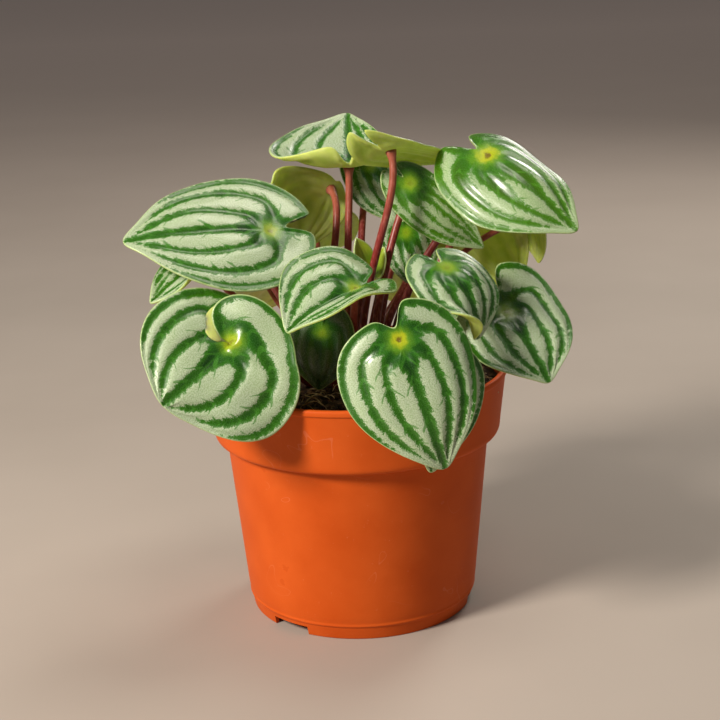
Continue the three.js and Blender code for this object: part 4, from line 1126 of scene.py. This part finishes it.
def fibre(tree):
    """A thin bent fibre that rises out of the soil and comes down again."""
    inputs = {
        "Resolution": 9,
        "Start": (-5 * MM, 0, -0.4 * MM),
        "Middle": (0.5 * MM, 2.5 * MM, 4.5 * MM),
        "End": (5 * MM, 0, -0.4 * MM),
    }
    line = add(tree, "GeometryNodeCurveQuadraticBezier", inputs).outputs[0]
    circle = {"Resolution": 5, "Radius": 0.22 * MM}
    section = add(tree, "GeometryNodeCurvePrimitiveCircle", circle).outputs[0]
    inputs = {"Curve": line, "Profile Curve": section, "Fill Caps": True}
    return add(tree, "GeometryNodeCurveToMesh", inputs).outputs[0]


def soil_top():
    """A plain disc over the visible soil, only for strewing things on."""
    shares = np.linspace(INNERMOST_RING, 1, STREWN_RINGS)
    rings = [(soil_radius() * share - STREWN_MARGIN * share, 0) for share in shares]
    points, faces = turned([(0, 0), *rings, (0, 0)], STREWN_SIDES)
    points[:, 2] = soil_height(points[:, 0], points[:, 1])
    return points, [face for face in faces if len(face) == 4 or 0 in face]


def strewn(name, make_one, material, density, scales, seed):
    """Copies of one small thing, strewn over the soil and made one piece."""
    points, faces = soil_top()
    thing = shape(name, points, faces)
    strew = thing.modifiers.new("strew", "NODES")
    strew.node_group = scatter_tree(name, make_one, material, density, scales, seed)
    applied(thing)
    settle(thing)


# ---------------------------------------------------------------- the plant

soil_material = potting_soil()
fibre_material = root_fibre()
stalk_material = stalk_skin()
under_material = leaf_under()
upper_material = leaf_upper("waxy_leaf_upper")
young_material = leaf_upper("waxy_young_leaf_upper", *YOUNG_GREEN)
fresh_material = leaf_upper("waxy_fresh_leaf_upper", *FRESH_GREEN)
# The shaded leaf's dark upper side is painted shade.
shaded_material = leaf_upper("waxy_shaded_leaf_upper", *SHADE_GREEN)

upper_materials = dict.fromkeys(YOUNG_LEAVES, young_material)
upper_materials.update(dict.fromkeys(FRESH_LEAVES, fresh_material))
upper_materials.update(dict.fromkeys(SHADED_LEAVES, shaded_material))

plastic_pot(pot_plastic())
soil_body(soil_material)
strewn("soil_crumbs", crumb, soil_material, *CRUMBS)
strewn("root_fibres", fibre, fibre_material, *FIBRES)
for number, (name, row) in enumerate(LEAVES.items()):
    leaf = laid_out(row)
    upper = upper_materials.get(name, upper_material)
    blade(name, leaf, upper, under_material, number)
    stalk(name, leaf, stalk_material)

# ---------------------------------------------------------------- stage, light and camera


def lamp(name, place, aim, size, power, tint):
    """A round soft lamp."""
    data = bpy.data.lights.new(name, "AREA")
    data.shape = "DISK"
    data.size = size
    data.energy = power
    data.color = colour(tint)[:3]
    thing = bpy.data.objects.new(name, data)
    thing.location = place
    thing.rotation_euler = (Vector(aim) - Vector(place)).to_track_quat("-Z", "Y").to_euler()
    bpy.context.scene.collection.objects.link(thing)


def stage():
    """The plain pale floor, the room's even light and the four lamps."""
    corners = [(x * FLOOR_REACH, y * FLOOR_REACH, 0) for x, y in [(-1, -1), (1, -1), (1, 1), (-1, 1)]]
    mesh = bpy.data.meshes.new("floor")
    mesh.from_pydata(corners, [], [(0, 1, 2, 3)])
    mesh.materials.append(floor_board())
    shown("floor", mesh)
    world = bpy.data.worlds.new("studio")
    world.use_nodes = True
    room = world.node_tree.nodes["Background"]
    room.inputs["Color"].default_value = colour(ROOM_COLOUR)
    room.inputs["Strength"].default_value = ROOM_LIGHT
    bpy.context.scene.world = world
    for name, values in LAMPS.items():
        lamp(name, *values)
    bpy.context.scene.view_settings.view_transform = "Standard"


def viewer():
    """A camera at the photograph's viewpoint: before the plant, a little above it and tipped a little."""
    elevation, roll = math.radians(VIEW_ELEVATION), math.radians(VIEW_ROLL)
    back = Vector((0, -math.cos(elevation), math.sin(elevation)))
    right = Vector((1, 0, 0))
    up = back.cross(right)
    turned_right = math.cos(roll) * right + math.sin(roll) * up
    turned_up = math.cos(roll) * up - math.sin(roll) * right
    data = bpy.data.cameras.new("viewer")
    data.sensor_width = SENSOR
    data.lens = LENS
    camera = bpy.data.objects.new("viewer", data)
    axes = Matrix((turned_right, turned_up, back)).transposed().to_4x4()
    camera.matrix_world = Matrix.Translation(Vector(VIEW_TARGET) + back * VIEW_DISTANCE) @ axes
    bpy.context.scene.collection.objects.link(camera)
    bpy.context.scene.camera = camera


stage()
viewer()
